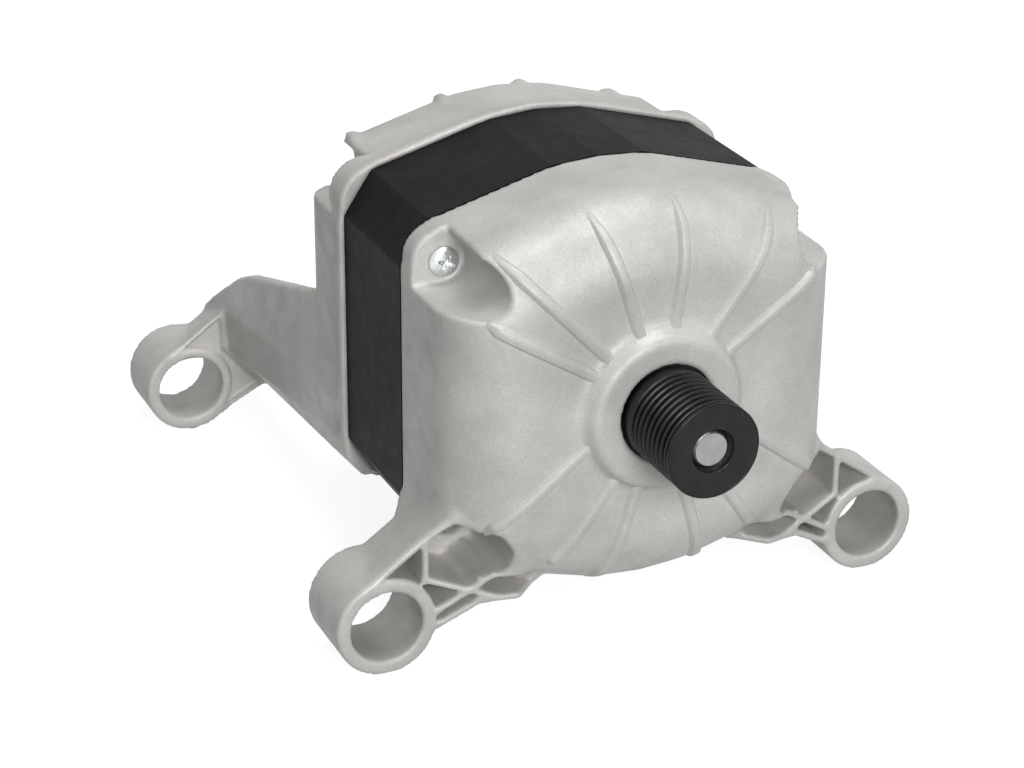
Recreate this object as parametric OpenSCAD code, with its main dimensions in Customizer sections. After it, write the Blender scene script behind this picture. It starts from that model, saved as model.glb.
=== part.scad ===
// Universal motor for driving a washing machine drum through a ribbed belt.
// Millimetres. The origin is on the shaft axis at the middle of the belt track.
// +Y runs from the pulley to the rear, +Z is up, +X is right as seen from the pulley.

/* [Stator stack] */
// Width of the lamination stack across its side flats
body_w = 112; // [108:1:118]
// Height of the lamination stack at the crown of its top
body_h = 111; // [108:1:116]
// Length of the flat on each side of the stack
side_flat = 66; // [60:1:70]
// Width of the flat band around the crown
top_flat = 27; // [20:1:34]
// Drop from the crown to the ends of that band
top_drop = 1; // [0.5:0.1:2]
// How far the corner point lies in from the side
corner_dx = 8; // [6:0.5:10]
// How far the corner point lies above the end of the side flat
corner_dz = 12; // [9:0.5:14]
// Length of the lamination stack
stack_len = 40; // [30:1:60]
// Thickness of a pole shoe
shoe_t = 4.2; // [3:0.1:4.2]
// Height of the root that joins a pole shoe to the yoke
pole_root_h = 37; // [30:1:38]
// Half angle that a pole shoe covers
shoe_angle = 63; // [58:1:66]

/* [Front shield] */
// Distance from the belt centre to the face of the hub
belt_to_hub = 13.7; // [12:0.1:20]
// Height of the hub above the dome's plateau
hub_rise = 4.5; // [3:0.1:7]
// Diameter of the hub at its face
hub_face_d = 41; // [40:0.5:44]
// Diameter of the hub where it meets the plateau
hub_base_d = 46; // [45:0.5:50]
// Diameter of the hole in the hub face
hub_hole_d = 26.72; // [26:0.1:30]
// Depth of the shield from its plateau to its rim
dome_depth = 39.5; // [38:0.5:44]
// Radius of the dome's shoulder
shoulder_r = 19; // [14:0.5:20]
// How far the dome's side walls lean in from the rim to the shoulder
dome_draft = 0.8; // [0.3:0.1:1.5]
// Wall thickness of the cast shields
wall = 3.4; // [2.6:0.1:4]
// Thickness of the corner lugs that the long screws clamp
lug_t = 7.2; // [5:0.2:9]
// Outer radius of a corner lug
lug_r = 8.5; // [7.5:0.1:9.5]
// Radius of the scoop that gives room for a screw head
scoop_r = 7; // [5.8:0.1:7.2]
// Height of the cooling ribs above the dome
rib_h = 1.3; // [0.8:0.1:2]
// Width of a cooling rib
rib_w = 3; // [2:0.1:4]

/* [Mounting eyes] */
// Distance between the left and the right mounting axis
eye_spacing = 144; // [140:1:152]
// Distance of the mounting axes below the shaft axis
eye_drop = 54.4; // [52:0.2:58]
// Diameter of the hole through each eye
eye_bore_d = 20; // [16:0.5:21]
// Outer diameter of each eye
eye_d = 27.6; // [26:0.1:30]
// Length of a front eye
front_eye_len = 22; // [18:1:26]
// Length of a rear eye
rear_eye_len = 20; // [16:1:24]
// Distance from the plateau back to the face of a front eye
front_eye_setback = 10.8; // [8:0.2:14]
// Distance from the stack's rear face to the face of a rear eye
arm_reach = 92; // [85:1:100]
// Slope of the upper edge of a front leg, in degrees
leg_slope = 35; // [32:1:38]
// Backward lean of the top face of a front leg, in degrees
leg_lean = 9; // [4:1:12]
// Wall thickness around the pocket in a front leg
leg_wall = 3; // [2.4:0.1:4]
// Thickness of the stiffening ribs in a leg pocket
leg_rib_w = 2.4; // [1.8:0.1:3]
// Thickness of the side plate of a rear arm
arm_t = 4; // [3:0.1:5]
// Depth of the shallow recess in the front of a rear arm's web
web_recess = 3; // [1:0.5:5]
// Backward lean of the top face of that web, in degrees
web_lean = 17; // [8:1:20]
// Width of the border and ribs around that recess
web_border = 2.4; // [1.8:0.1:3]

/* [Rear shield] */
// Depth of the rear shield from its rear face to its flange
cup_depth = 31; // [28:0.5:34]
// Radius of the rear shield's shoulder
rear_shoulder_r = 8; // [6:0.5:9]
// Length of the corner lugs that take the ends of the long screws
rear_lug_len = 8.8; // [7:0.2:11]
// How much wider the rear flange is than the stack
flange_lip = 1.5; // [1:0.1:2.5]
// How far the flange reaches over the stack
flange_overlap = 1; // [0.6:0.1:2]
// Diameter of the opening around the commutator
window_d = 60; // [56:1:64]
// Distance from the shield's rear face to the rear bearing
cup_to_bearing = 24.3; // [23:0.1:30]
// Width of the four spokes that carry the rear bearing
spoke_w = 6; // [4:0.5:8]

/* [Bearings] */
// Outer diameter of the front ball bearing
front_od = 35; // [35:1:35]
// Bore of the front ball bearing
front_id = 15; // [15:1:15]
// Width of the front ball bearing
front_w = 11; // [11:0.5:12]
// Outer diameter of the rear ball bearing
rear_od = 32; // [32:1:32]
// Bore of the rear ball bearing
rear_id = 12; // [12:1:12]
// Width of the rear ball bearing
rear_w = 10; // [10:0.5:11]
// Diameter of the balls in both bearings
ball_d = 5.95; // [5.5:0.05:6]
// Number of balls in each bearing
ball_n = 8; // [6:1:8]
// Thickness of the wave washer that preloads the front bearing
washer_t = 0.7; // [0.5:0.1:0.9]
// Thickness of the lip in front of the wave washer
hub_lip = 2.6; // [2:0.1:3.5]

/* [Rotor] */
// Diameter of the rotor's lamination stack
rotor_d = 64.8; // [60:0.1:66]
// Air gap between the rotor and the pole shoes
rotor_gap = 0.6; // [0.4:0.1:1]
// Number of rotor slots, and of commutator bars
slot_n = 24; // [18:2:24]
// Width of a rotor slot
slot_w = 2.6; // [2:0.1:2.8]
// Depth of a rotor slot
slot_h = 10; // [8:0.5:11]
// Length of the wound overhang beyond each end of the rotor
rotor_overhang = 16; // [12:0.5:16]
// Length of the field coils beyond each end of the stack
coil_overhang = 14; // [10:0.5:16]
// Thickness of a field coil
coil_t = 6; // [4:0.5:6.5]
// Diameter of the shaft in the rotor
shaft_d = 17; // [16:0.5:18]
// Diameter of the shaft end that carries the pulley
nose_d = 10; // [9:0.5:12]
// Diameter of the shaft end that carries the speed sensor magnet
tail_d = 8; // [7:0.5:9]
// Diameter of the commutator's running track
commutator_d = 38; // [36:0.5:40]
// Gap between two commutator bars
bar_gap = 0.6; // [0.4:0.1:1]

/* [Belt pulley] */
// Pitch of the belt ribs
belt_pitch = 2.34; // [2.34:0.01:2.36]
// Number of ribs on the pulley
belt_ribs = 8; // [6:1:8]
// Outer diameter of the pulley
pulley_d = 25.56; // [24:0.1:26]
// Depth of the grooves
groove_depth = 1.9; // [1.6:0.1:2.2]
// Width of the plain band in front of the grooves
front_band = 0.95; // [0.8:0.05:2]
// Length of the plain sleeve behind the grooves
rear_band = 5; // [4.8:0.1:5.4]
// Diameter of the recess around the shaft end
nose_recess_d = 11.8; // [11:0.1:14]
// How far the shaft end lies behind the pulley's face
nose_set_in = 1.2; // [0.5:0.1:2]

/* [Brush gear] */
// Length of a carbon brush
brush_len = 18; // [14:1:19]
// Size of a carbon brush along the shaft
brush_w = 12.5; // [10:0.5:12.5]
// Thickness of a carbon brush
brush_t = 5; // [4:0.5:6]
// How far the outer end of a brush guide lies inside the side of the stack
guide_set_in = 9; // [8:0.5:11]
// Wall thickness of the brass guide
guide_wall = 0.8; // [0.6:0.1:1]

/* [Fasteners and terminals] */
// Diameter of the long stator screws
screw_d = 4; // [3.5:0.5:4.5]
// Distance of the screws from the side of the stack
screw_from_side = 9; // [8:0.5:11]
// Distance of the screws below the stack's corner point
screw_from_corner = 9; // [8:0.5:11]
// Diameter of a screw head
head_d = 8.2; // [7:0.1:9]
// Height of a screw head
head_h = 2.6; // [2:0.1:3]
// Pitch of the connector pins
pin_pitch = 5; // [4.5:0.1:5]
// Number of places in the connector
pin_places = 6; // [4:1:6]

/* [Hidden] */
$fn = 96;

// Clearances, each named for the pieces that it keeps apart
seat_gap = 0.02;
slide_gap = 0.1;
screw_gap = 0.25;
coil_gap = 0.3;
air_gap = 0.05;
ball_gap = 0.04;
cut = 1;

// Colours as the photograph shows them
cast_colour = [0.83, 0.83, 0.82];
black_colour = [0.09, 0.09, 0.1];
steel_colour = [0.72, 0.73, 0.75];
copper_colour = [0.72, 0.38, 0.2];
brass_colour = [0.8, 0.64, 0.3];
plastic_colour = [0.86, 0.84, 0.76];

// Walls that the castings leave around a bearing seat and around a scoop
seat_wall = 4.2;
scoop_wall = 2.4;

// Places along the shaft, front to rear
groove_span = belt_ribs * belt_pitch;
pulley_front = -groove_span / 2 - front_band;
pulley_rear = groove_span / 2 + rear_band;
hub_face = belt_to_hub;
plateau = hub_face + hub_rise;
rim = plateau + dome_depth;
stack_rear = rim + stack_len;
cup_rear = stack_rear + cup_depth;
front_seat = hub_face + hub_lip;
front_brg = front_seat + washer_t;
front_brg_end = front_brg + front_w;
nose_end = front_seat - 0.3;
rear_brg = cup_rear + cup_to_bearing;
rear_brg_end = rear_brg + rear_w;
housing_end = rear_brg_end + 1.9;
front_eye = plateau + front_eye_setback;
rear_eye = stack_rear + arm_reach;
lug_face = rim - lug_t;
brush_y = cup_rear + guide_wall + brush_w / 2 + 0.4;
bars_front = brush_y - brush_w / 2 - 3.4;
bars_rear = brush_y + brush_w / 2 + 3;
tail_end = housing_end + 10.5;
sensor_r = 15;

// Outline of the stack as points (x, z), anticlockwise from the lower right
half_w = body_w / 2;
half_h = body_h / 2;
quarter = [[half_w, side_flat / 2], [half_w - corner_dx, side_flat / 2 + corner_dz],
    [top_flat / 2, half_h - top_drop]];
outline = concat(quarter, [[0, half_h]], [for (i = [2 : -1 : 0]) [-quarter[i][0], quarter[i][1]]],
    [for (p = quarter) [-p[0], -p[1]]], [[0, -half_h]],
    [for (i = [2 : -1 : 0]) [quarter[i][0], -quarter[i][1]]]);
screw_x = half_w - screw_from_side;
screw_z = side_flat / 2 + corner_dz - screw_from_corner;
eye_x = eye_spacing / 2;

// Distance from point p along the unit direction u to the edge of the outline
function edge_normal(i) =
    let (a = outline[i], b = outline[(i + 1) % len(outline)], d = b - a)
    [d[1], -d[0]] / norm(d);
function reach(p, u) = min([for (i = [0 : len(outline) - 1])
    let (n = edge_normal(i), k = n * u)
    if (k > 0.01) (n * (outline[i] - p)) / k]);

// A 2D shape (x, z) carried along the shaft axis from y0 to y1
module along_y(y0, y1) {
    translate([0, y1, 0]) rotate([90, 0, 0]) linear_extrude(y1 - y0) children();
}

module rod(y0, y1, r) {
    translate([0, y0, 0]) rotate([-90, 0, 0]) cylinder(h = y1 - y0, r = r);
}

module ring(y0, y1, r_out, r_in) {
    difference() {
        rod(y0, y1, r_out);
        rod(y0 - cut, y1 + cut, r_in);
    }
}

// A solid of revolution about the shaft axis, from points (radius, y)
module turned(points, angle = 360) {
    rotate([-90, 0, 0]) rotate_extrude(angle = angle) polygon(points);
}

module right_and_left() {
    children();
    mirror([1, 0, 0]) children();
}

module at_screws(y) {
    for (sx = [1, -1], sz = [1, -1]) translate([sx * screw_x, y, sz * screw_z]) children();
}

// Front to rear, and rear to front: y = 0 is then the flat of that shield's dome
module from_front() {
    translate([0, plateau, 0]) children();
}

module from_rear() {
    translate([0, cup_rear, 0]) mirror([0, 1, 0]) children();
}

// Convex shell of a dome with a shoulder of radius r; inset thins it evenly for the cavity
module dome(inset, depth, r) {
    k = r - inset;
    hull() {
        along_y(depth - 0.01, depth) offset(delta = -inset) polygon(outline);
        for (a = [0 : 7.5 : 90])
            along_y(inset + k * (1 - sin(a)), inset + k * (1 - sin(a)) + 0.01)
                offset(delta = -inset - dome_draft - k * (1 - cos(a))) polygon(outline);
    }
}

// Front leg seen from the front, without its eye
eye_r = eye_d / 2;
eye_at = [eye_x, -eye_drop];
leg_touch = eye_at + eye_r * [sin(leg_slope), cos(leg_slope)];
leg_start = [half_w - 2, leg_touch[1] + (leg_touch[0] - half_w + 2) * tan(leg_slope)];
leg_low = eye_at + eye_r * [-0.96, -0.28];
leg_under = [half_w - corner_dx - 1, -half_h + 4];
leg_in = half_w - 28;
bore_side = eye_x - eye_bore_d / 2 - 0.6;

module leg_face() {
    polygon([leg_start, leg_touch, eye_at, leg_low, leg_under, [leg_in, -half_h + 4.8],
        [leg_in, -side_flat / 2 - corner_dz + 2], [leg_in + 4, -side_flat / 2]]);
}

module bar(a, b, w) {
    d = b - a;
    translate(a) rotate(atan2(d[1], d[0])) translate([0, -w / 2]) square([norm(d), w]);
}

// Stiffening ribs in a leg pocket, seen from the front
pocket_ribs = [
    [eye_at + [-11, 24], eye_at + [-11, 10.8]],
    [eye_at + [-10.6, 11.4], eye_at + [-32, 3.6]],
    [eye_at + [-28.5, 11.4], eye_at + [-12.5, 1]]];

// The pocket's outline; its inner edge runs round the screw
module pocket_face() {
    offset(delta = -leg_wall) leg_face();
    translate([screw_x, -screw_z]) circle(scoop_r);
}

module leg_pocket() {
    difference() {
        intersection() {
            along_y(plateau - cut, rim - lug_t - 4) difference() {
                pocket_face();
                translate(eye_at) circle(eye_r);
            }
            leg_top() translate([0, 0, -leg_wall]) below();
        }
        along_y(plateau - cut, rim) for (r = pocket_ribs) bar(r[0], r[1], leg_rib_w);
    }
    translate([screw_x, 0, -screw_z]) rod(plateau - cut, lug_face, head_d / 2 + 0.8);
}

// Places its children on the leg's leaning top plane
module leg_top() {
    translate([leg_touch[0], front_eye, leg_touch[1]])
        rotate([0, leg_slope, 0]) rotate([-leg_lean, 0, 0]) children();
}

// Scoop at an upper corner, open to the top and to the outside
module corner_scoop(y0, y1) {
    along_y(y0, y1) translate([screw_x + 1, screw_z + 1]) {
        circle(scoop_r);
        translate([-scoop_r * 0.36, 0]) square(3 * scoop_r);
        translate([0, -scoop_r]) square(3 * scoop_r);
    }
}

// Leg from above: it leaves the dome on its shoulder and leans back to the eye
module leg_plan() {
    translate([0, 0, -body_h]) linear_extrude(body_h) polygon([[leg_in, plateau + 13],
        [leg_in + 9, plateau + 5], [bore_side, front_eye], [eye_x + eye_r, front_eye],
        [eye_x + eye_r, front_eye + front_eye_len], [bore_side, front_eye + front_eye_len],
        [half_w + 1, rim], [leg_in, rim]]);
}

// Everything under the plane z = 0, near a leg
module below() {
    translate([-body_w, -body_w, -body_w]) cube([2 * body_w, 2 * body_w, body_w]);
}

module front_leg() {
    intersection() {
        along_y(plateau, rim) leg_face();
        leg_plan();
        leg_top() below();
    }
    translate([eye_x, 0, -eye_drop]) rod(front_eye, front_eye + front_eye_len, eye_r);
}

// Depth of a shoulder of radius r behind the flat, at distance d inside its edge
function shoulder_y(d, r) = d < r ? r - sqrt(r * r - (r - d) * (r - d)) : 0;

// One raised rib on a dome, from point p in the direction of angle a, fading at the edge
module dome_rib(p, a, r) {
    u = [cos(a), sin(a)];
    s = reach(p, u) - dome_draft;
    crest = [for (f = [1, 0.55, 0.4, 0.26, 0.15])
        if (f * r < s) [s - f * r, shoulder_y(f * r, r) - rib_h * min(1, f / 0.4)]];
    translate([p[0], 0, p[1]]) rotate([0, -a, 0]) translate([0, 0, -rib_w / 2]) linear_extrude(rib_w)
        polygon(concat([[0, shoulder_y(s, r) + wall], [0, shoulder_y(s, r) - rib_h]], crest,
            [[s - 0.06 * r, 0.75 * r]]));
}

hub_r = hub_base_d / 2;
radial_ribs = [33.5, 53, 82, 107.5, 133.5, 148, -73.5, -106.5];
leg_ribs = [[[20, -7], -37.5], [[13, -18], -54]];

module front_ribs() {
    for (a = radial_ribs) dome_rib(hub_r * 0.8 * [cos(a), sin(a)], a, shoulder_r);
    for (r = leg_ribs) {
        dome_rib(r[0], r[1], shoulder_r);
        dome_rib([-r[0][0], r[0][1]], 180 - r[1], shoulder_r);
    }
}

// The rear ribs are short: they lie on the shoulder only
module rear_ribs() {
    for (a = radial_ribs) if (a > 0) {
        u = [cos(a), sin(a)];
        dome_rib((reach([0, 0], u) - dome_draft - 0.8 * rear_shoulder_r) * u, a, rear_shoulder_r);
    }
}

module front_shield() {
    color(cast_colour) difference() {
        union() {
            from_front() dome(0, dome_depth, shoulder_r);
            turned([[0, hub_face], [hub_face_d / 2, hub_face], [hub_r, plateau + 0.5], [0, plateau + 0.5]]);
            at_screws(0) rod(lug_face, rim, lug_r);
            from_front() front_ribs();
        }
        difference() {
            from_front() dome(wall, dome_depth + cut, shoulder_r);
            rod(plateau, front_brg_end + 0.6, front_od / 2 + seat_wall);
            at_screws(0) rod(plateau, rim + 2 * cut, scoop_r + scoop_wall);
            right_and_left() along_y(plateau, rim + 2 * cut) offset(delta = scoop_wall) pocket_face();
        }
        rod(hub_face - cut, front_brg, hub_hole_d / 2);
        rod(front_seat, front_brg_end + cut, front_od / 2 + seat_gap);
        at_screws(0) rod(lug_face - cut, rim + cut, screw_d / 2 + screw_gap);
        right_and_left() corner_scoop(plateau - rib_h - cut, lug_face);
        right_and_left() leg_pocket();
    }
}

// The legs are cast in one with the dome; each is drawn apart and fits its outside
module cast_leg() {
    difference() {
        front_leg();
        from_front() dome(0, dome_depth, shoulder_r);
        from_front() front_ribs();
        at_screws(0) rod(lug_face, rim, lug_r);
        leg_pocket();
        translate([eye_x, 0, -eye_drop])
            rod(front_eye - 3 * cut, front_eye + front_eye_len + 3 * cut, eye_bore_d / 2);
    }
}

module front_leg_right() {
    color(cast_colour) cast_leg();
}

module front_leg_left() {
    color(cast_colour) mirror([1, 0, 0]) cast_leg();
}

// Flange that reaches over the end of the stack; the rear arms start behind it
arm_start = stack_rear + 2 * flange_lip;

module flange() {
    along_y(stack_rear - flange_overlap, arm_start)
        offset(delta = flange_lip) polygon(outline);
}

// Screws that hold the brush gear, the sensor cover and the earth tab
holder_screw_x = window_d / 2 + 10;
holder_screw_z = 13.5;
small_screw_r = 1.5;
earth_at = [holder_screw_x + 1.2, holder_screw_z + 10];
foot_t = 2.4;

module rear_shield() {
    color(cast_colour) difference() {
        union() {
            from_rear() dome(0, cup_depth, rear_shoulder_r);
            from_rear() rear_ribs();
            flange();
            at_screws(0) rod(stack_rear - flange_overlap, stack_rear + rear_lug_len, lug_r + flange_lip);
        }
        difference() {
            from_rear() dome(wall, cup_depth + 2 * cut, rear_shoulder_r);
            at_screws(0) rod(stack_rear, cup_rear, scoop_r + scoop_wall);
        }
        along_y(stack_rear - flange_overlap - cut, stack_rear) offset(delta = seat_gap) polygon(outline);
        rod(cup_rear - wall - cut, cup_rear + cut, window_d / 2);
        right_and_left() corner_scoop(stack_rear + rear_lug_len, cup_rear + rib_h + cut);
        at_screws(0) rod(stack_rear - cut, stack_rear + rear_lug_len + cut, screw_d / 2);
        for (sx = [1, -1], sz = [1, -1]) translate([sx * holder_screw_x, 0, sz * holder_screw_z])
            rod(cup_rear - wall - cut, cup_rear + cut, small_screw_r);
        translate([earth_at[0], 0, earth_at[1]]) rod(cup_rear - wall - cut, cup_rear + cut, small_screw_r);
    }
}

// Rear arm: a bent plate along the shield's side, then a web that carries the eye.
// Points (x, z) of its outer face, at the flange and at the eye
top_at_flange = [half_w - 2, 5];
fold_at_flange = [half_w + 1.5, -23.5];
foot_at_flange = [half_w - 5.3, -48];
top_at_eye = [half_w + 1.8, -10];
fold_at_eye = eye_at + [-11.4, 24.4];
bend_at_eye = eye_at + [-11.7, 11.7];
foot_at_eye = eye_at + [-24.1, -2.7];

module plate_section(edge) {
    polygon(concat(edge, [for (i = [len(edge) - 1 : -1 : 0]) edge[i] - [arm_t, 0]]));
}

module arm_plate(at_flange, at_eye) {
    hull() {
        along_y(arm_start, arm_start + 0.01) plate_section(at_flange);
        along_y(rear_eye + web_recess, rear_eye + web_recess + 0.01) plate_section(at_eye);
    }
    along_y(rear_eye + web_recess, rear_eye + rear_eye_len) plate_section(at_eye);
}

// The arm from the side, as points (z, y): its top edge steps down to the eye
module arm_side() {
    rear = rear_eye + rear_eye_len - 0.6;
    translate([eye_x + eye_r, 0, 0]) rotate([0, -90, 0]) linear_extrude(eye_x)
        polygon([[4, arm_start], [-1, cup_rear], [-13.4, rear_eye - 16], [-16.8, rear_eye - 8],
            [-21.5, rear_eye - 1], [-27.5, rear_eye + 8], [-35.5, rear], [foot_at_eye[1], rear],
            [foot_at_eye[1], rear_eye], [foot_at_flange[1], arm_start]]);
}

module web_face() {
    polygon([fold_at_eye, bend_at_eye, foot_at_eye, eye_at + eye_r * [-0.71, -0.71], eye_at,
        eye_at + eye_r * [0.56, 0.83]]);
}

module web_pocket(y0, y1, border) {
    along_y(y0, y1) difference() {
        offset(delta = -border) web_face();
        translate(eye_at) circle(eye_r);
    }
}

module rear_arm() {
    rear = rear_eye + rear_eye_len;
    difference() {
        union() {
            intersection() {
                union() {
                    arm_plate([top_at_flange, fold_at_flange], [top_at_eye, fold_at_eye]);
                    arm_plate([fold_at_flange, foot_at_flange], [fold_at_eye, bend_at_eye, foot_at_eye]);
                }
                arm_side();
            }
            intersection() {
                along_y(rear_eye, rear - 0.6) web_face();
                translate([fold_at_eye[0], rear_eye, fold_at_eye[1]])
                    rotate([0, leg_slope, 0]) rotate([-web_lean, 0, 0]) below();
            }
            translate([eye_x, 0, -eye_drop]) rod(rear_eye, rear, eye_r);
        }
        web_pocket(rear_eye - cut, rear_eye + web_recess, web_border);
        web_pocket(rear_eye + web_recess + arm_t, rear + cut, arm_t);
        translate([eye_x, 0, -eye_drop]) rod(rear_eye - cut, rear + cut, eye_bore_d / 2);
        from_rear() dome(0, cup_depth, rear_shoulder_r);
        translate([screw_x, 0, -screw_z]) rod(stack_rear, stack_rear + rear_lug_len, lug_r + flange_lip);
    }
}

module rear_arm_right() {
    color(cast_colour) rear_arm();
}

module rear_arm_left() {
    color(cast_colour) mirror([1, 0, 0]) rear_arm();
}

// Bearing housing on four spokes that stand on the rear face of the shield
housing_wall = 3.5;
housing_r = rear_od / 2 + housing_wall;
spoke_foot = 13;
tail_room = 5;
cover_screw_r = sensor_r + 2.3;

module spoke() {
    translate([0, 0, -spoke_w / 2]) linear_extrude(spoke_w) polygon([[window_d / 2 + 1, cup_rear],
        [window_d / 2 + spoke_foot + 1, cup_rear], [window_d / 2 + spoke_foot, cup_rear + wall],
        [housing_r, rear_brg_end], [housing_r - 1.2, rear_brg_end], [housing_r - 1.2, rear_brg + 2]]);
}

module rear_bearing_bridge() {
    color(cast_colour) difference() {
        union() {
            ring(rear_brg - 1, housing_end, housing_r, tail_d / 2 + tail_room);
            for (a = [45 : 90 : 315]) rotate([0, a, 0]) spoke();
        }
        rod(rear_brg - 2 * cut, rear_brg_end, rear_od / 2 + seat_gap);
        for (s = [1, -1]) translate([0, 0, s * cover_screw_r])
            rod(housing_end - 1.4, housing_end + cut, small_screw_r);
    }
}

bore_r = rotor_d / 2 + rotor_gap;
yoke_r = bore_r + shoe_t + coil_t + 4 * coil_gap;

module wedge(r, half_angle) {
    polygon(concat([[0, 0]], [for (a = [-half_angle : half_angle / 8 : half_angle]) r * [cos(a), sin(a)]]));
}

module stator_face() {
    difference() {
        polygon(outline);
        circle(yoke_r);
        for (sx = [1, -1], sz = [1, -1]) translate([sx * screw_x, sz * screw_z])
            circle(screw_d / 2 + screw_gap);
    }
}

module pole_face() {
    translate([bore_r + 1, -pole_root_h / 2]) square([yoke_r - bore_r, pole_root_h]);
    intersection() {
        difference() {
            circle(bore_r + shoe_t);
            circle(bore_r);
        }
        wedge(bore_r + shoe_t + 5, shoe_angle);
    }
}

module stator_core() {
    color(black_colour) {
        along_y(rim, stack_rear) union() {
            stator_face();
            right_and_left_2d() difference() {
                pole_face();
                circle(bore_r);
            }
        }
    }
}

module right_and_left_2d() {
    children();
    mirror([1, 0]) children();
}

coil_in = bore_r + shoe_t + coil_gap;
coil_out = coil_in + coil_t;
liner = 1;
root_gap = 0.1;

// Saddle-shaped field coil around the root of the right pole
module field_coil() {
    difference() {
        along_y(rim - coil_overhang, stack_rear + coil_overhang) intersection() {
            difference() {
                circle(coil_out);
                circle(coil_in);
            }
            wedge(coil_out + 6, shoe_angle - 3);
        }
        translate([0, rim - liner - root_gap, -pole_root_h / 2 - liner - 2 * root_gap])
            cube([yoke_r, stack_len + 2 * liner + 2 * root_gap, pole_root_h + 2 * liner + 4 * root_gap]);
    }
}

module field_coil_right() {
    color(copper_colour) field_coil();
}

module field_coil_left() {
    color(copper_colour) mirror([1, 0, 0]) field_coil();
}

// Moulded frame that keeps a field coil off the root of its pole
module pole_insulator() {
    side = pole_root_h / 2 + root_gap;
    intersection() {
        ring(rim - liner, stack_rear + liner, coil_out, coil_in);
        difference() {
            translate([0, rim - liner, -side - liner])
                cube([coil_out, stack_len + 2 * liner, 2 * side + 2 * liner]);
            translate([-cut, rim, -side]) cube([coil_out + 2 * cut, stack_len, 2 * side]);
        }
    }
}

module pole_insulator_right() {
    color(plastic_colour) pole_insulator();
}

module pole_insulator_left() {
    color(plastic_colour) mirror([1, 0, 0]) pole_insulator();
}

// Small sealed switch on the front end of the left field coil
switch_w = 12;
switch_t = 4.2;

module thermal_protector() {
    color(black_colour) translate([-coil_out + 1, rim - coil_overhang - switch_t, -switch_w / 2])
        cube([coil_t - 1, switch_t, switch_w]);
}

core_r = shaft_d / 2;
rotor_r = rotor_d / 2;

module rotor_shaft() {
    color(steel_colour) turned([[0, pulley_front + nose_set_in], [nose_d / 2 - 0.6, pulley_front + nose_set_in],
        [nose_d / 2, pulley_front + nose_set_in + 0.6], [nose_d / 2, nose_end], [front_id / 2, nose_end],
        [front_id / 2, front_brg_end + 0.6], [core_r, front_brg_end + 0.6], [core_r, rear_brg - 2.4],
        [rear_id / 2, rear_brg - 2.4], [rear_id / 2, rear_brg_end + 0.4], [tail_d / 2, rear_brg_end + 0.4],
        [tail_d / 2, tail_end - 0.5], [tail_d / 2 - 0.5, tail_end], [0, tail_end]]);
}

slot_out = rotor_r - 2;

module slots(gap) {
    for (i = [0 : slot_n - 1]) rotate(i * 360 / slot_n)
        translate([slot_out - slot_h + gap, -slot_w / 2 + gap]) square([slot_h - 2 * gap, slot_w - 2 * gap]);
}

module rotor_core() {
    color(steel_colour) along_y(rim, stack_rear) difference() {
        circle(rotor_r);
        circle(core_r);
        slots(0);
        for (i = [0 : slot_n - 1]) rotate(i * 360 / slot_n) translate([slot_out - 1, -0.7]) square([4, 1.4]);
    }
}

module rotor_end_insulators() {
    color(plastic_colour) {
        ring(rim - liner, rim, slot_out - slot_h - 1, core_r);
        ring(stack_rear, stack_rear + liner, slot_out - slot_h - 1, core_r);
    }
}

module rotor_winding() {
    r0 = core_r + 1.5;
    r1 = slot_out - 0.6;
    l = rotor_overhang;
    f = rim - liner;
    b = stack_rear + liner;
    color(copper_colour) {
        along_y(f - 0.5, b + 0.5) slots(0.15);
        turned([[r0, f], [r1, f], [r1, f - l * 0.45], [r1 - 3, f - l * 0.8], [r1 - 7, f - l],
            [r0, f - l * 0.9]]);
        turned([[r0, b], [r1, b], [r1, b + l * 0.4], [r1 - 4, b + l * 0.75], [riser_r - 1, bars_front],
            [bar_in + 1, bars_front], [r0, b + l * 0.5]]);
    }
}

track_r = commutator_d / 2;
riser_r = track_r + 2.5;
bar_in = track_r - 4.5;

module commutator_hub() {
    color([0.3, 0.17, 0.1]) ring(bars_front + 0.2, bars_rear + 0.6, bar_in, core_r);
}

module commutator_bars() {
    step = 360 / slot_n;
    gap = bar_gap / track_r * 180 / PI;
    color(copper_colour) for (i = [0 : slot_n - 1]) rotate([0, i * step, 0])
        turned([[bar_in, bars_front], [riser_r, bars_front], [riser_r, bars_front + 2.2],
            [track_r, bars_front + 2.4], [track_r, bars_rear], [bar_in, bars_rear]], step - gap);
}

groove_bottom_r = pulley_d / 2 - groove_depth;
groove_half = groove_depth * tan(20) + 0.15;

// Grooves stand half a pitch from the middle ribs, one beside each rib
module pulley() {
    color(black_colour) difference() {
        turned([[0, pulley_front], [pulley_d / 2 - 0.8, pulley_front],
            [pulley_d / 2, pulley_front + 0.7], [pulley_d / 2, pulley_rear],
            [nose_d / 2 + 3.5, pulley_rear], [nose_d / 2 + 3.5, nose_end], [0, nose_end]]);
        rod(pulley_front - cut, nose_end + cut, nose_d / 2);
        rod(pulley_front - cut, pulley_front + 1.9, nose_recess_d / 2);
        for (i = [0 : belt_ribs]) translate([0, (i - belt_ribs / 2) * belt_pitch, 0])
            turned([[groove_bottom_r, -0.2], [pulley_d / 2 + 1, -groove_half - 0.4],
                [pulley_d / 2 + 1, groove_half + 0.4], [groove_bottom_r, 0.2]]);
    }
}

// Deep-groove ball bearing, in pieces that are turned about the shaft axis
shoulder = 2.6;
ball_r = ball_d / 2;
cage_half = ball_r + 0.7;

module outer_race(y, w, od, id) {
    pitch_r = (od + id) / 4;
    color(steel_colour) difference() {
        ring(y, y + w, od / 2, od / 2 - shoulder);
        translate([0, y + w / 2, 0]) rotate([90, 0, 0]) rotate_extrude()
            translate([pitch_r, 0]) circle(ball_r + ball_gap);
    }
}

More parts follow.
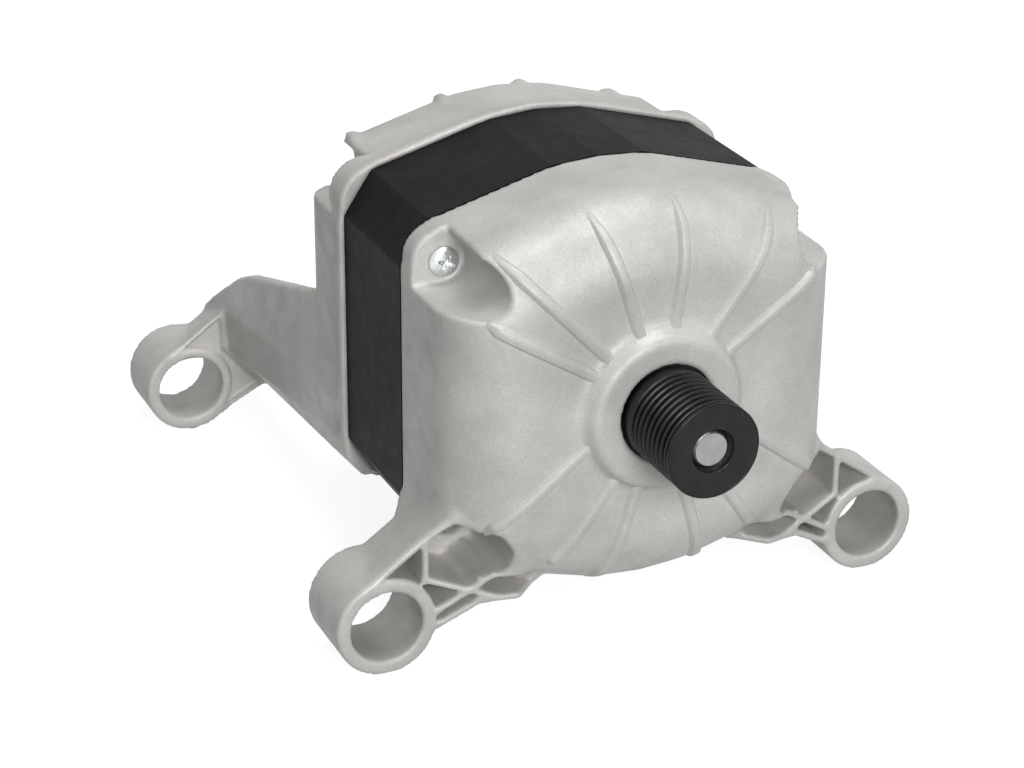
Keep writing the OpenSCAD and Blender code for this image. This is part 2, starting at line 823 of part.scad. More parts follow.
module inner_race(y, w, od, id) {
    pitch_r = (od + id) / 4;
    color(steel_colour) difference() {
        ring(y, y + w, id / 2 + shoulder, id / 2);
        translate([0, y + w / 2, 0]) rotate([90, 0, 0]) rotate_extrude()
            translate([pitch_r, 0]) circle(ball_r + ball_gap);
    }
}

module balls(y, w, od, id) {
    color(steel_colour) for (i = [0 : ball_n - 1]) rotate([0, i * 360 / ball_n, 0])
        translate([(od + id) / 4, y + w / 2, 0]) sphere(r = ball_r);
}

module cage(y, w, od, id) {
    pitch_r = (od + id) / 4;
    color(brass_colour) difference() {
        ring(y + w / 2 - cage_half, y + w / 2 + cage_half, pitch_r + 0.7, pitch_r - 0.7);
        for (i = [0 : ball_n - 1]) rotate([0, i * 360 / ball_n, 0])
            translate([pitch_r - 2, y + w / 2, 0]) rotate([0, 90, 0]) cylinder(h = 4, r = ball_r + slide_gap);
    }
}

module seals(y, w, od, id) {
    color(black_colour) for (s = [y + 0.3, y + w - 1])
        ring(s, s + 0.7, od / 2 - shoulder, id / 2 + shoulder + 0.25);
}

module front_bearing_outer_race() { outer_race(front_brg, front_w, front_od, front_id); }
module front_bearing_inner_race() { inner_race(front_brg, front_w, front_od, front_id); }
module front_bearing_balls() { balls(front_brg, front_w, front_od, front_id); }
module front_bearing_cage() { cage(front_brg, front_w, front_od, front_id); }
module front_bearing_seals() { seals(front_brg, front_w, front_od, front_id); }
module rear_bearing_outer_race() { outer_race(rear_brg, rear_w, rear_od, rear_id); }
module rear_bearing_inner_race() { inner_race(rear_brg, rear_w, rear_od, rear_id); }
module rear_bearing_balls() { balls(rear_brg, rear_w, rear_od, rear_id); }
module rear_bearing_cage() { cage(rear_brg, rear_w, rear_od, rear_id); }
module rear_bearing_seals() { seals(rear_brg, rear_w, rear_od, rear_id); }

module wave_washer() {
    color(steel_colour) ring(front_seat, front_brg, front_od / 2 - 0.3, front_od / 2 - 3);
}

// Pan head screw with a cross recess, driven along +Y with its head seated at y = 0
module pan_screw(d, head, height, length) {
    difference() {
        turned([[0, -height], [head * 0.3, -height], [head * 0.42, -height * 0.8],
            [head / 2, -height * 0.35], [head / 2, 0], [d / 2, 0], [d / 2, length - 0.4],
            [d / 2 - 0.4, length], [0, length]]);
        for (a = [20, 110]) rotate([0, a, 0]) translate([-head * 0.3, -height - cut, -head * 0.06])
            cube([head * 0.6, height * 0.5 + cut, head * 0.12]);
    }
}

module stator_screws() {
    color(steel_colour) at_screws(lug_face)
        pan_screw(screw_d, head_d, head_h, stack_rear + rear_lug_len - 1 - lug_face);
}

// Brush gear on the right; the left side is its mirror image
guide_h = brush_t + 2 * slide_gap + 2 * guide_wall;
guide_w = brush_w + 2 * slide_gap + 2 * guide_wall;
guide_in = track_r + 2;
guide_end = half_w - guide_set_in;
guide_len = guide_end - guide_in;
brush_tip = track_r + air_gap;

module brush_box(x0, x1, grow) {
    translate([x0, brush_y - brush_w / 2 - grow, -brush_t / 2 - grow])
        cube([x1 - x0, brush_w + 2 * grow, brush_t + 2 * grow]);
}

module carbon_brush() {
    difference() {
        brush_box(track_r - 1, track_r + brush_len, 0);
        rod(bars_front - 2, bars_rear + 2, brush_tip);
    }
}

module brush_guide() {
    difference() {
        brush_box(guide_in, guide_in + guide_len, slide_gap + guide_wall);
        brush_box(guide_in - cut, guide_in + guide_len - 1, slide_gap);
    }
}

holder_out = guide_end - 6;

module brush_holder() {
    difference() {
        union() {
            translate([guide_in + 7, cup_rear, -guide_h / 2 - 2])
                cube([holder_out - guide_in - 7, guide_w + 2 * guide_wall + 0.6, guide_h + 4]);
            translate([holder_screw_x - 5, cup_rear, -holder_screw_z - 4.5])
                cube([10, foot_t, 2 * holder_screw_z + 9]);
        }
        brush_box(guide_in, guide_in + guide_len + cut, slide_gap + guide_wall);
        for (s = [1, -1]) translate([holder_screw_x, 0, s * holder_screw_z])
            rod(cup_rear - cut, cup_rear + foot_t + cut, small_screw_r + 0.2);
    }
}

// Compression spring behind a brush, a wire swept along a helix
spring_turns = 7;
spring_wire = 0.6;
spring_r = 1.9;
spring_x0 = track_r + brush_len + spring_wire / 2 + 0.05;
spring_x1 = guide_end - 1 - spring_wire / 2 - 0.05;

function helix_at(t) =
    let (k = t * spring_turns * 360)
    [spring_x0 + t * (spring_x1 - spring_x0), brush_y + spring_r * cos(k), spring_r * sin(k)];
function wire_point(t, a) =
    let (c = helix_at(t), k = t * spring_turns * 360, out = [0, cos(k), sin(k)])
    c + spring_wire / 2 * (cos(a) * out + sin(a) * [1, 0, 0]);

module brush_spring() {
    n = spring_turns * 8;
    sides = 6;
    points = [for (i = [0 : n], j = [0 : sides - 1]) wire_point(i / n, j * 360 / sides)];
    walls = [for (i = [0 : n - 1], j = [0 : sides - 1])
        let (a = i * sides + j, b = i * sides + (j + 1) % sides)
        [a, b, b + sides, a + sides]];
    ends = [[for (j = [sides - 1 : -1 : 0]) j], [for (j = [0 : sides - 1]) n * sides + j]];
    halves = concat([for (w = walls) [w[0], w[1], w[2]]], [for (w = walls) [w[0], w[2], w[3]]]);
    polyhedron(points, concat(halves, ends));
}

module carbon_brush_right() { color([0.16, 0.16, 0.17]) carbon_brush(); }
module carbon_brush_left() { color([0.16, 0.16, 0.17]) mirror([1, 0, 0]) carbon_brush(); }
module brush_guide_right() { color(brass_colour) brush_guide(); }
module brush_guide_left() { color(brass_colour) mirror([1, 0, 0]) brush_guide(); }
module brush_holder_right() { color(black_colour) brush_holder(); }
module brush_holder_left() { color(black_colour) mirror([1, 0, 0]) brush_holder(); }
module brush_spring_right() { color(steel_colour) brush_spring(); }
module brush_spring_left() { color(steel_colour) mirror([1, 0, 0]) brush_spring(); }

module brush_holder_screws() {
    color(steel_colour) for (sx = [1, -1], sz = [1, -1])
        translate([sx * holder_screw_x, cup_rear + foot_t, sz * holder_screw_z])
            mirror([0, 1, 0]) pan_screw(2 * small_screw_r, 5.6, 1.8, foot_t + wall);
}

// Speed sensor: a ring magnet on the shaft's tail inside a coil and a cover
magnet_y = housing_end + 1.2;
magnet_end = tail_end - 0.8;
magnet_t = 4.6;
magnet_gap = 0.6;
cover_wall = 1.4;
tab_t = 2.4;
tab_r = 3.4;

module tacho_magnet() {
    color([0.25, 0.24, 0.24]) ring(magnet_y, magnet_end, tail_d / 2 + magnet_t, tail_d / 2);
}

module tacho_coil() {
    color(copper_colour) ring(housing_end, magnet_end, sensor_r - cover_wall - air_gap,
        tail_d / 2 + magnet_t + magnet_gap);
}

module tacho_cover() {
    end = tail_end + magnet_gap;
    color(black_colour) difference() {
        union() {
            rod(housing_end, end + cover_wall, sensor_r);
            for (s = [1, -1]) translate([0, 0, s * cover_screw_r]) rod(housing_end, housing_end + tab_t, tab_r);
        }
        rod(housing_end - cut, end, sensor_r - cover_wall);
        for (s = [1, -1]) translate([0, 0, s * cover_screw_r])
            rod(housing_end - cut, housing_end + tab_t + cut, small_screw_r);
    }
}

module tacho_cover_screws() {
    color(steel_colour) for (s = [1, -1]) translate([0, housing_end + tab_t, s * cover_screw_r])
        mirror([0, 1, 0]) pan_screw(2 * small_screw_r, 4, 1.6, tab_t + 1.4);
}

// Connector on the cup's rear face, open to the rear
con_z = 31;
con_h = 10;
con_len = 17;
con_w = (pin_places + 0.8) * pin_pitch;
con_wall = 1.2;

module connector_housing() {
    color(plastic_colour) difference() {
        union() {
            translate([-con_w / 2, cup_rear, con_z]) cube([con_w, con_len, con_h]);
            translate([-5, cup_rear + con_len - 9, con_z - 1.4]) cube([10, 8, 1.6]);
        }
        translate([-con_w / 2 + con_wall, cup_rear + 4, con_z + con_wall])
            cube([con_w - 2 * con_wall, con_len, con_h - 2 * con_wall]);
        pins(slide_gap, 3);
    }
}

// Flat pins; the fourth place stays empty as a key
module pins(grow, y_back) {
    for (i = [0 : pin_places - 1]) if (i != 3)
        translate([(i - (pin_places - 1) / 2) * pin_pitch - 0.4 - grow, cup_rear + y_back - grow * 10,
            con_z + con_h / 2 - 1.4 - grow])
            cube([0.8 + 2 * grow, con_len - 2 - y_back + 20 * grow, 2.8 + 2 * grow]);
}

module connector_pins() {
    color(brass_colour) pins(0, 2.5);
}

module earth_tab() {
    color(steel_colour) translate([earth_at[0], cup_rear, earth_at[1]]) difference() {
        union() {
            rod(0, 0.8, 4.4);
            translate([-3.15, 0, 0]) cube([6.3, 0.8, 7]);
            translate([-3.15, 0, 6.2]) cube([6.3, 9, 0.8]);
        }
        rod(-cut, 2, small_screw_r + 0.2);
    }
}

module earth_screw() {
    color(brass_colour) translate([earth_at[0], cup_rear + 0.8, earth_at[1]])
        mirror([0, 1, 0]) pan_screw(2 * small_screw_r, 6, 2, 0.8 + wall);
}

front_shield();
front_leg_left();
front_leg_right();
rear_shield();
rear_arm_left();
rear_arm_right();
rear_bearing_bridge();
stator_core();
field_coil_left();
field_coil_right();
pole_insulator_left();
pole_insulator_right();
thermal_protector();
rotor_shaft();
rotor_core();
rotor_end_insulators();
rotor_winding();
commutator_hub();
commutator_bars();
pulley();
front_bearing_outer_race();
front_bearing_inner_race();
front_bearing_balls();
front_bearing_cage();
front_bearing_seals();
wave_washer();
rear_bearing_outer_race();
rear_bearing_inner_race();
rear_bearing_balls();
rear_bearing_cage();
rear_bearing_seals();
stator_screws();
brush_holder_left();
brush_holder_right();
brush_guide_left();
brush_guide_right();
carbon_brush_left();
carbon_brush_right();
brush_spring_left();
brush_spring_right();
brush_holder_screws();
tacho_magnet();
tacho_coil();
tacho_cover();
tacho_cover_screws();
connector_housing();
connector_pins();
earth_tab();
earth_screw();
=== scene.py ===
"""Washing machine motor: a universal motor with two cast shields, a laminated stator and a ribbed pulley."""
import math
import bpy
import numpy as np
from mathutils import Matrix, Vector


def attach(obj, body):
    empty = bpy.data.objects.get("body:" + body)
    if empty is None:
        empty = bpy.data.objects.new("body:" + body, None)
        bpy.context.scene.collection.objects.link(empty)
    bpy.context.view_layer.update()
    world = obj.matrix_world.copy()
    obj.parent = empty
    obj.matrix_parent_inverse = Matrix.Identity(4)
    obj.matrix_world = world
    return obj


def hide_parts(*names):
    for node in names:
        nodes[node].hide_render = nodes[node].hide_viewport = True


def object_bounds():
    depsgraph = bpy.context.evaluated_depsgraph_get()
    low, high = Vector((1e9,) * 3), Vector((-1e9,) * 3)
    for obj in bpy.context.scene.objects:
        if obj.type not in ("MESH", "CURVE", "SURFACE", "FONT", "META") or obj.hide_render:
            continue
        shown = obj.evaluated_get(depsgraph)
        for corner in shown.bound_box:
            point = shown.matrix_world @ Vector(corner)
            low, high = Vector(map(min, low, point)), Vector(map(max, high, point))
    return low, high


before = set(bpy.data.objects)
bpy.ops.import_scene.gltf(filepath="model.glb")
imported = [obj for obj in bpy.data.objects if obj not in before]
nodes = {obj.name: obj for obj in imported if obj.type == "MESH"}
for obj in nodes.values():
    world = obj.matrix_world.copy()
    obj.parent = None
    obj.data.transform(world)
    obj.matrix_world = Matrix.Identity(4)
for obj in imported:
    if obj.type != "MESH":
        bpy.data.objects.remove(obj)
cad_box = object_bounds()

mm = 0.001


# The camera stands where the photographer's stood: left of the pulley and above it, with a long lens.
photo_width = 1024
camera_place = (-297.7, -541.9, 298.4)
camera_azimuth, camera_elevation, camera_roll = (math.radians(a) for a in (-24.526, 24.782, 0.417))
focal_pixels = 2724.8
sensor_width = 36.0

right = np.array([math.cos(camera_azimuth), math.sin(camera_azimuth), 0])
back = np.array([math.sin(camera_azimuth) * math.cos(camera_elevation),
                 -math.cos(camera_azimuth) * math.cos(camera_elevation), math.sin(camera_elevation)])
up = np.cross(back, right)
rolled_right = math.cos(camera_roll) * right + math.sin(camera_roll) * up
rolled_up = np.cross(back, rolled_right)
camera_data = bpy.data.cameras.new("camera")
camera_data.sensor_width = sensor_width
camera_data.lens = focal_pixels / photo_width * sensor_width
camera_data.clip_start = 0.01
camera = bpy.data.objects.new("camera", camera_data)
camera.matrix_world = Matrix([[*row, place * mm] for row, place in
                              zip(np.stack([rolled_right, rolled_up, back], 1), camera_place)] + [[0, 0, 0, 1]])
bpy.context.scene.collection.objects.link(camera)
bpy.context.scene.camera = camera
bpy.context.scene.view_settings.view_transform = "Standard"


# The studio: a pale table in a white room, a wide key lamp in front of the motor and another lamp above it.
table_z = cad_box[0][2] - 0.0002
table_size = 8.0
table_grey, table_glow, room_light = 0.33, 0.9, 0.05
lamp_target = (0, 0.08, 0)


def add_node(tree, kind, **values):
    """A shader node of that kind, with its named properties or input sockets set."""
    node = tree.nodes.new(kind)
    for key, value in values.items():
        if hasattr(node, key):
            setattr(node, key, value)
        else:
            node.inputs[key.replace("_", " ")].default_value = value
    return node


def seen_directly(tree):
    """1 where the camera sees a surface, straight or in a mirror or glass, and 0 where the surface lights others."""
    path = add_node(tree, "ShaderNodeLightPath")
    mirrored = add_node(tree, "ShaderNodeMath", operation="MAXIMUM")
    seen = add_node(tree, "ShaderNodeMath", operation="MAXIMUM")
    tree.links.new(path.outputs["Is Glossy Ray"], mirrored.inputs[0])
    tree.links.new(path.outputs["Is Transmission Ray"], mirrored.inputs[1])
    tree.links.new(path.outputs["Is Camera Ray"], seen.inputs[0])
    tree.links.new(mirrored.outputs[0], seen.inputs[1])
    return seen.outputs[0]


def studio_table(colour, glow):
    """The table's material: pale and matt, and a little brighter where the eye or a reflection meets it."""
    material = bpy.data.materials.new("studio_table")
    material.use_nodes = True
    tree = material.node_tree
    tree.nodes.clear()
    out = add_node(tree, "ShaderNodeOutputMaterial")
    matt = add_node(tree, "ShaderNodeBsdfDiffuse", Color=colour)
    light = add_node(tree, "ShaderNodeEmission", Color=(1, 1, 1, 1))
    lit = add_node(tree, "ShaderNodeMath", operation="MULTIPLY")
    lit.inputs[1].default_value = glow
    both = add_node(tree, "ShaderNodeAddShader")
    tree.links.new(seen_directly(tree), lit.inputs[0])
    tree.links.new(lit.outputs[0], light.inputs["Strength"])
    tree.links.new(matt.outputs[0], both.inputs[0])
    tree.links.new(light.outputs[0], both.inputs[1])
    tree.links.new(both.outputs[0], out.inputs["Surface"])
    return material


def surface_mesh(name, points, faces, material, smooth=True):
    """A mesh object in metres from points in millimetres and an array of faces, all with as many corners."""
    mesh = bpy.data.meshes.new(name)
    mesh.vertices.add(len(points))
    mesh.vertices.foreach_set("co", (np.asarray(points, np.float64) * mm).ravel())
    mesh.loops.add(faces.size)
    mesh.loops.foreach_set("vertex_index", np.ascontiguousarray(faces, np.int32).ravel())
    mesh.polygons.add(len(faces))
    mesh.polygons.foreach_set("loop_start", np.arange(0, faces.size, faces.shape[1], dtype=np.int32))
    mesh.update(calc_edges=True)
    mesh.validate()
    mesh.polygons.foreach_set("use_smooth", np.full(len(mesh.polygons), smooth))
    mesh.materials.append(material)
    piece = bpy.data.objects.new(name, mesh)
    bpy.context.scene.collection.objects.link(piece)
    return piece


table_corner = table_size / 2 / mm
table = surface_mesh("table", np.array([[-1, -1, 0], [1, -1, 0], [1, 1, 0], [-1, 1, 0]]) * table_corner
                     + [0, 0, table_z / mm], np.array([[0, 1, 2, 3]]),
                     studio_table((table_grey, table_grey, table_grey, 1), table_glow), smooth=False)


def soft_lamp(name, place, size, power):
    """A square area lamp that faces the motor."""
    data = bpy.data.lights.new(name, "AREA")
    data.shape = "SQUARE"
    data.size = size
    data.energy = power
    lamp = bpy.data.objects.new(name, data)
    away = np.array(place) - np.array(lamp_target)
    away = away / np.linalg.norm(away)
    side = np.cross([0, 0, 1], away)
    side = side / np.linalg.norm(side)
    lamp.matrix_world = Matrix([[*row, p] for row, p in zip(np.stack([side, np.cross(away, side), away], 1), place)]
                               + [[0, 0, 0, 1]])
    bpy.context.scene.collection.objects.link(lamp)


soft_lamp("lamp_key", (-0.25, -1.4, 0.6), 0.6, 15.5)
soft_lamp("lamp_top", (0.1, -0.1, 1.5), 0.7, 11)

world = bpy.data.worlds.new("studio")
world.use_nodes = True
tree = world.node_tree
tree.nodes.clear()
world_out = add_node(tree, "ShaderNodeOutputWorld")
room = add_node(tree, "ShaderNodeBackground", Color=(1, 1, 1, 1))
strength = add_node(tree, "ShaderNodeMapRange")
strength.inputs["To Min"].default_value = room_light
strength.inputs["To Max"].default_value = 1.0
tree.links.new(seen_directly(tree), strength.inputs["Value"])
tree.links.new(strength.outputs[0], room.inputs["Strength"])
tree.links.new(room.outputs[0], world_out.inputs["Surface"])
bpy.context.scene.world = world


# Front shield: a domed aluminium die casting over the pulley end, shot-blasted all over, with cooling ribs on its
# dome, four lugs for the long screws and two legs that end in mounting eyes.
stack_half_w, stack_half_h = 56.0, 55.5
stack_corners = [(stack_half_w, 33.0), (48.0, 45.0), (13.5, 54.5), (0.0, stack_half_h)]
hub_face, hub_rise = 13.7, 4.5
plateau = hub_face + hub_rise
rim = 57.7
stack_rear = 97.7
shoulder_r, dome_draft, draft_depth = 19.0, 0.8, 40.0
cast_wall = 3.4
hub_face_r, hub_base_r, hub_edge, hub_root, hub_fillet = 20.5, 23.0, 1.2, 3.0, 1.4
hub_hole_r, hub_hole_end, hub_hole_edge, seat_bore_r, seat_front = 13.36, 17.0, 0.6, 17.52, 16.3
screw_x, screw_z = 47.0, 36.0
lug_face, lug_r, lug_edge, lug_fillet, screw_hole_r = 50.5, 8.5, 0.8, 1.5, 2.25
scoop_r, scoop_shift, scoop_side, scoop_wall, head_seat_r = 7.0, 1.0, 0.36, 2.4, 4.9
scoop_floor_r, scoop_edge = 0.5, 0.6
rib_height, rib_half_width, rib_end_lean, rib_end_width = 1.5, 1.4, 0.95, 0.45
rib_start_r, rib_reach, rib_steps = 19.5, 60.0, 121
rib_across = np.array([-1.6, -1.3, -0.8, -0.6, 0.6, 0.8, 1.3, 1.6])
rib_rise = np.array([-0.6, 0, 0.9, 1, 1, 0.9, 0, -0.6])
eye_x, eye_z, eye_r, bore_r = 72.0, -54.4, 13.8, 10.0
front_eye, front_eye_end, eye_side, eye_edge, bore_edge = 29.0, 51.0, 62.0, 0.5, 0.7
rim_edge, leg_edge, leg_fillet, eye_fillet = 0.7, 1.2, 3.0, 0.7
far_inside = -1e3


def rounded_and(a, b, r):
    """Where both fields are inside, with the edge between them rounded to radius r: a quarter circle in (a, b)."""
    return (np.hypot(np.maximum(a + r, 0), np.maximum(b + r, 0)) - r
            + np.minimum(np.maximum(a, b) + r, 0))


def filleted_or(a, b, r):
    """Where either field is inside, with the inner corner between them filled to radius r."""
    return -rounded_and(-a, -b, r)


def soft_max(a, b, k):
    """The larger of two fields, eased over a width k where they meet at a shallow angle."""
    ease = np.maximum(k - np.abs(a - b), 0) / k
    return np.maximum(a, b) + ease * ease * k / 4


def outline_field(x, z, k=0.8):
    """Distance outside the stack's outline: the largest distance beyond its edges, each folded by symmetry."""
    ax, az = np.abs(x), np.abs(z)
    field = ax - stack_half_w
    for (x0, z0), (x1, z1) in zip(stack_corners, stack_corners[1:]):
        length = math.hypot(x1 - x0, z1 - z0)
        field = soft_max(field, ((ax - x0) * (z1 - z0) - (az - z0) * (x1 - x0)) / length, k)
    return field


def polygon_field(u, v, corners):
    """Signed distance to a closed outline: the nearest edge, negative where a ray crosses the edges an odd time."""
    nearest = np.full(np.broadcast(u, v).shape, np.inf)
    inside = np.zeros(nearest.shape, bool)
    for (u0, v0), (u1, v1) in zip(corners, corners[1:] + corners[:1]):
        du, dv = u1 - u0, v1 - v0
        t = np.clip(((u - u0) * du + (v - v0) * dv) / (du * du + dv * dv), 0, 1)
        nearest = np.minimum(nearest, np.hypot(u - u0 - t * du, v - v0 - t * dv))
        if dv:
            inside ^= ((v0 > v) != (v1 > v)) & (u < u0 + (v - v0) * du / dv)
    return np.where(inside, -nearest, nearest)


def bar_field(u, v, start, end, width):
    """Distance outside a straight bar of that width between two points."""
    du, dv = end[0] - start[0], end[1] - start[1]
    t = np.clip(((u - start[0]) * du + (v - start[1]) * dv) / (du * du + dv * dv), 0, 1)
    return np.hypot(u - start[0] - t * du, v - start[1] - t * dv) - width / 2


def dome_field(x, depth, z, inset, r):
    """A dome whose flat is at depth 0: walls with draft and a flat front, joined by a shoulder of radius r."""
    draft = dome_draft * np.clip(1 - depth / draft_depth, 0, 1)
    return rounded_and(outline_field(x, z) + inset + draft, inset - depth, r - inset)


def cast_surface(name, field, axes, material):
    """The closed surface where a field on a grid is zero: one point in each cell that it crosses, at the mean of the
    crossings on that cell's edges, and one four-sided face round each crossed edge of the grid. The shading normals
    are the field's own gradient."""
    inside = field < 0
    cells = tuple(n - 1 for n in field.shape)
    corner = lambda i, j, k: inside[i:i + cells[0], j:j + cells[1], k:k + cells[2]]
    offsets = [(i, j, k) for i in (0, 1) for j in (0, 1) for k in (0, 1)]
    count = sum(corner(*o).astype(np.int8) for o in offsets)
    crossed = (count > 0) & (count < 8)
    place = np.stack(np.nonzero(crossed), 1)
    number = np.full(cells, -1, np.int64)
    number[crossed] = np.arange(len(place))
    total, hits = np.zeros((len(place), 3)), np.zeros(len(place))
    for axis in range(3):
        step = np.eye(3, dtype=int)[axis]
        for o in (np.array(o) for o in offsets if o[axis] == 0):
            a, b = (field[tuple((place + o + s).T)] for s in (0 * step, step))
            hit = (a < 0) != (b < 0)
            t = np.where(hit, a / np.where(hit, a - b, 1), 0)
            total += hit[:, None] * (o + t[:, None] * step)
            hits += hit
    part = total / hits[:, None]
    points = np.stack([axes[k][place[:, k]] + part[:, k] * (axes[k][place[:, k] + 1] - axes[k][place[:, k]])
                       for k in range(3)], 1)
    faces = []
    for axis in range(3):
        f, c = np.moveaxis(inside, axis, 0), np.moveaxis(number, axis, 0)
        i, j, k = np.nonzero(f[:-1, 1:-1, 1:-1] != f[1:, 1:-1, 1:-1])
        j, k = j + 1, k + 1
        ring = np.stack([c[i, j - 1, k - 1], c[i, j, k - 1], c[i, j, k], c[i, j - 1, k]], 1)
        outward = f[i, j, k] if axis != 1 else ~f[i, j, k]
        faces.append(np.where(outward[:, None], ring, ring[:, ::-1]))
    piece = surface_mesh(name, points, np.concatenate(faces), material)
    slope = np.zeros((len(points), 3))
    for axis, rise in enumerate(np.gradient(field, *axes)):
        for o in offsets:
            weight = np.prod([part[:, k] if o[k] else 1 - part[:, k] for k in range(3)], 0)
            slope[:, axis] += weight * rise[tuple((place + o).T)]
    slope /= np.maximum(np.linalg.norm(slope, axis=1), 1e-9)[:, None]
    piece.data.normals_split_custom_set_from_vertices(slope)
    return piece


def grid_axes(lowest, highest, step):
    """The three rows of grid places from one corner to the other, about a step apart."""
    return [np.linspace(a, b, int(round((b - a) / s)) + 1) for a, b, s in zip(lowest, highest, step)]


def texture_chain(tree, kind, scale, **values):
    """A texture node that reads Object coordinates at that scale."""
    places = next((n for n in tree.nodes if n.bl_idname == "ShaderNodeTexCoord"), None) or add_node(
        tree, "ShaderNodeTexCoord")
    texture = add_node(tree, kind, **values)
    texture.inputs["Scale"].default_value = scale
    tree.links.new(places.outputs["Object"], texture.inputs["Vector"])
    return texture


def new_finish(name, colour, metallic, roughness):
    """A material with a Principled surface; returns it with its tree and its shader."""
    material = bpy.data.materials.new(name)
    material.use_nodes = True
    shader = material.node_tree.nodes["Principled BSDF"]
    shader.inputs["Base Color"].default_value = (*colour, 1)
    shader.inputs["Metallic"].default_value = metallic
    shader.inputs["Roughness"].default_value = roughness
    return material, material.node_tree, shader


def mottle(tree, shader, texture, dark, light, socket="Base Color"):
    """Lets a texture's middle values, 0.35 to 0.65, run a socket between two values."""
    spread = add_node(tree, "ShaderNodeMapRange")
    spread.inputs["From Min"].default_value = 0.35
    spread.inputs["From Max"].default_value = 0.65
    tree.links.new(texture.outputs[0], spread.inputs["Value"])
    if socket == "Base Color":
        mix = add_node(tree, "ShaderNodeMix", data_type="RGBA")
        mix.inputs[6].default_value = (*dark, 1)
        mix.inputs[7].default_value = (*light, 1)
        tree.links.new(spread.outputs[0], mix.inputs[0])
        tree.links.new(mix.outputs[2], shader.inputs[socket])
    else:
        spread.inputs["To Min"].default_value = dark
        spread.inputs["To Max"].default_value = light
        tree.links.new(spread.outputs[0], shader.inputs[socket])


def speckle(tree, shader, texture, amount):
    """Lets a texture darken and lighten whatever colour is there, by that share."""
    spread = add_node(tree, "ShaderNodeMapRange")
    for key, value in {"From Min": 0.3, "From Max": 0.7, "To Min": 1 - amount, "To Max": 1 + amount}.items():
        spread.inputs[key].default_value = value
    mix = add_node(tree, "ShaderNodeVectorMath", operation="SCALE")
    tree.links.new(texture.outputs[0], spread.inputs["Value"])
    tree.links.new(shader.inputs["Base Color"].links[0].from_socket, mix.inputs[0])
    tree.links.new(spread.outputs[0], mix.inputs["Scale"])
    tree.links.new(mix.outputs[0], shader.inputs["Base Color"])


def grain(tree, shader, texture, strength, depth):
    """Adds a texture as bump, on top of any bump that is there."""
    bump = add_node(tree, "ShaderNodeBump")
    bump.inputs["Strength"].default_value = strength
    bump.inputs["Distance"].default_value = depth
    tree.links.new(texture.outputs[0], bump.inputs["Height"])
    if shader.inputs["Normal"].links:
        tree.links.new(shader.inputs["Normal"].links[0].from_socket, bump.inputs["Normal"])
    tree.links.new(bump.outputs[0], shader.inputs["Normal"])


def shot_blasted_aluminium():
    """Satin die-cast aluminium: fine blast grain, and soft grey clouds where the metal flowed."""
    material, tree, shader = new_finish("cast_aluminium", (0.62, 0.61, 0.595), 0.12, 0.5)
    shader.inputs["Specular IOR Level"].default_value = 0.35
    clouds = texture_chain(tree, "ShaderNodeTexNoise", 38, Detail=4.0)
    mottle(tree, shader, clouds, (0.565, 0.552, 0.532), (0.665, 0.652, 0.628))
    speckle(tree, shader, texture_chain(tree, "ShaderNodeTexNoise", 2100, Detail=2.0), 0.09)
    speckle(tree, shader, texture_chain(tree, "ShaderNodeTexNoise", 110, Detail=6.0, Roughness=0.65), 0.06)
    patches = texture_chain(tree, "ShaderNodeTexNoise", 160, Detail=3.0)
    mottle(tree, shader, patches, 0.42, 0.56, "Roughness")
    blast = texture_chain(tree, "ShaderNodeTexNoise", 1500, Detail=3.0)
    grain(tree, shader, blast, 0.35, 0.00022)
    flow = texture_chain(tree, "ShaderNodeTexNoise", 260, Detail=2.0)
    grain(tree, shader, flow, 0.22, 0.0004)
    return material


aluminium = shot_blasted_aluminium()

eye = np.array([eye_x, eye_z])
leg_slope, leg_lean = math.radians(35), math.radians(9)
leg_touch = eye + eye_r * np.array([math.sin(leg_slope), math.cos(leg_slope)])
leg_start = (54.0, leg_touch[1] + (leg_touch[0] - 54.0) * math.tan(leg_slope))
leg_outline = [leg_start, tuple(leg_touch), (eye_x, eye_z), tuple(eye + eye_r * np.array([-0.96, -0.28])),
               (47.0, -51.5), (28.0, -50.5), (28.0, -43.0), (32.0, -33.0)]
leg_plan = [(28.0, 31.2), (37.0, 23.2), (eye_x - bore_r - 0.6, front_eye), (eye_x + eye_r, front_eye),
            (eye_x + eye_r, front_eye_end), (eye_x - bore_r - 0.6, front_eye_end), (57.0, rim), (28.0, rim)]
pocket_ribs = [((-11, 24), (-11, 10.8)), ((-10.6, 11.4), (-32, 3.6)), ((-28.5, 11.4), (-12.5, 1))]
pocket_rib_width, pocket_depth, leg_wall, leg_solid = 1.8, 46.5, 2.0, 0.6
pocket_in, pocket_end_r, pocket_floor_r, pocket_edge = 40.0, 4.5, 2.0, 0.7
dome_corner_x, dome_corner_z = 48.0, -43.5
channel_x, channel_rise, channel_top, channel_cut, channel_edge = 43.0, 1.6, -44.0, 0.6, 1.5
seat_wall_r, seat_end = 21.7, 28.6
radial_ribs = [math.radians(a) for a in (33.5, 53, 82, 107.5, 133.5, 148, -73.5, -106.5)]
leg_ribs = [((20.0, -7.0), math.radians(-37.5)), ((13.0, -18.0), math.radians(-54))]

axes = grid_axes((-88, 12.5, -70), (88, 59, 58), (0.85, 0.85, 0.85))
X, Y, Z = np.meshgrid(*axes, indexing="ij", sparse=True)
side_x = np.abs(X)
shaft_r = np.hypot(X, Z)

# The dome with its hub.
dome = dome_field(X, Y - plateau, Z, 0.0, shoulder_r)
hub_cone = shaft_r - hub_face_r - (hub_base_r - hub_face_r) * (Y - hub_face) / hub_rise
hub = rounded_and(hub_cone, hub_face - Y, hub_edge)
hub = np.maximum(hub, Y - plateau - hub_root)
shell = filleted_or(dome, hub, hub_fillet)

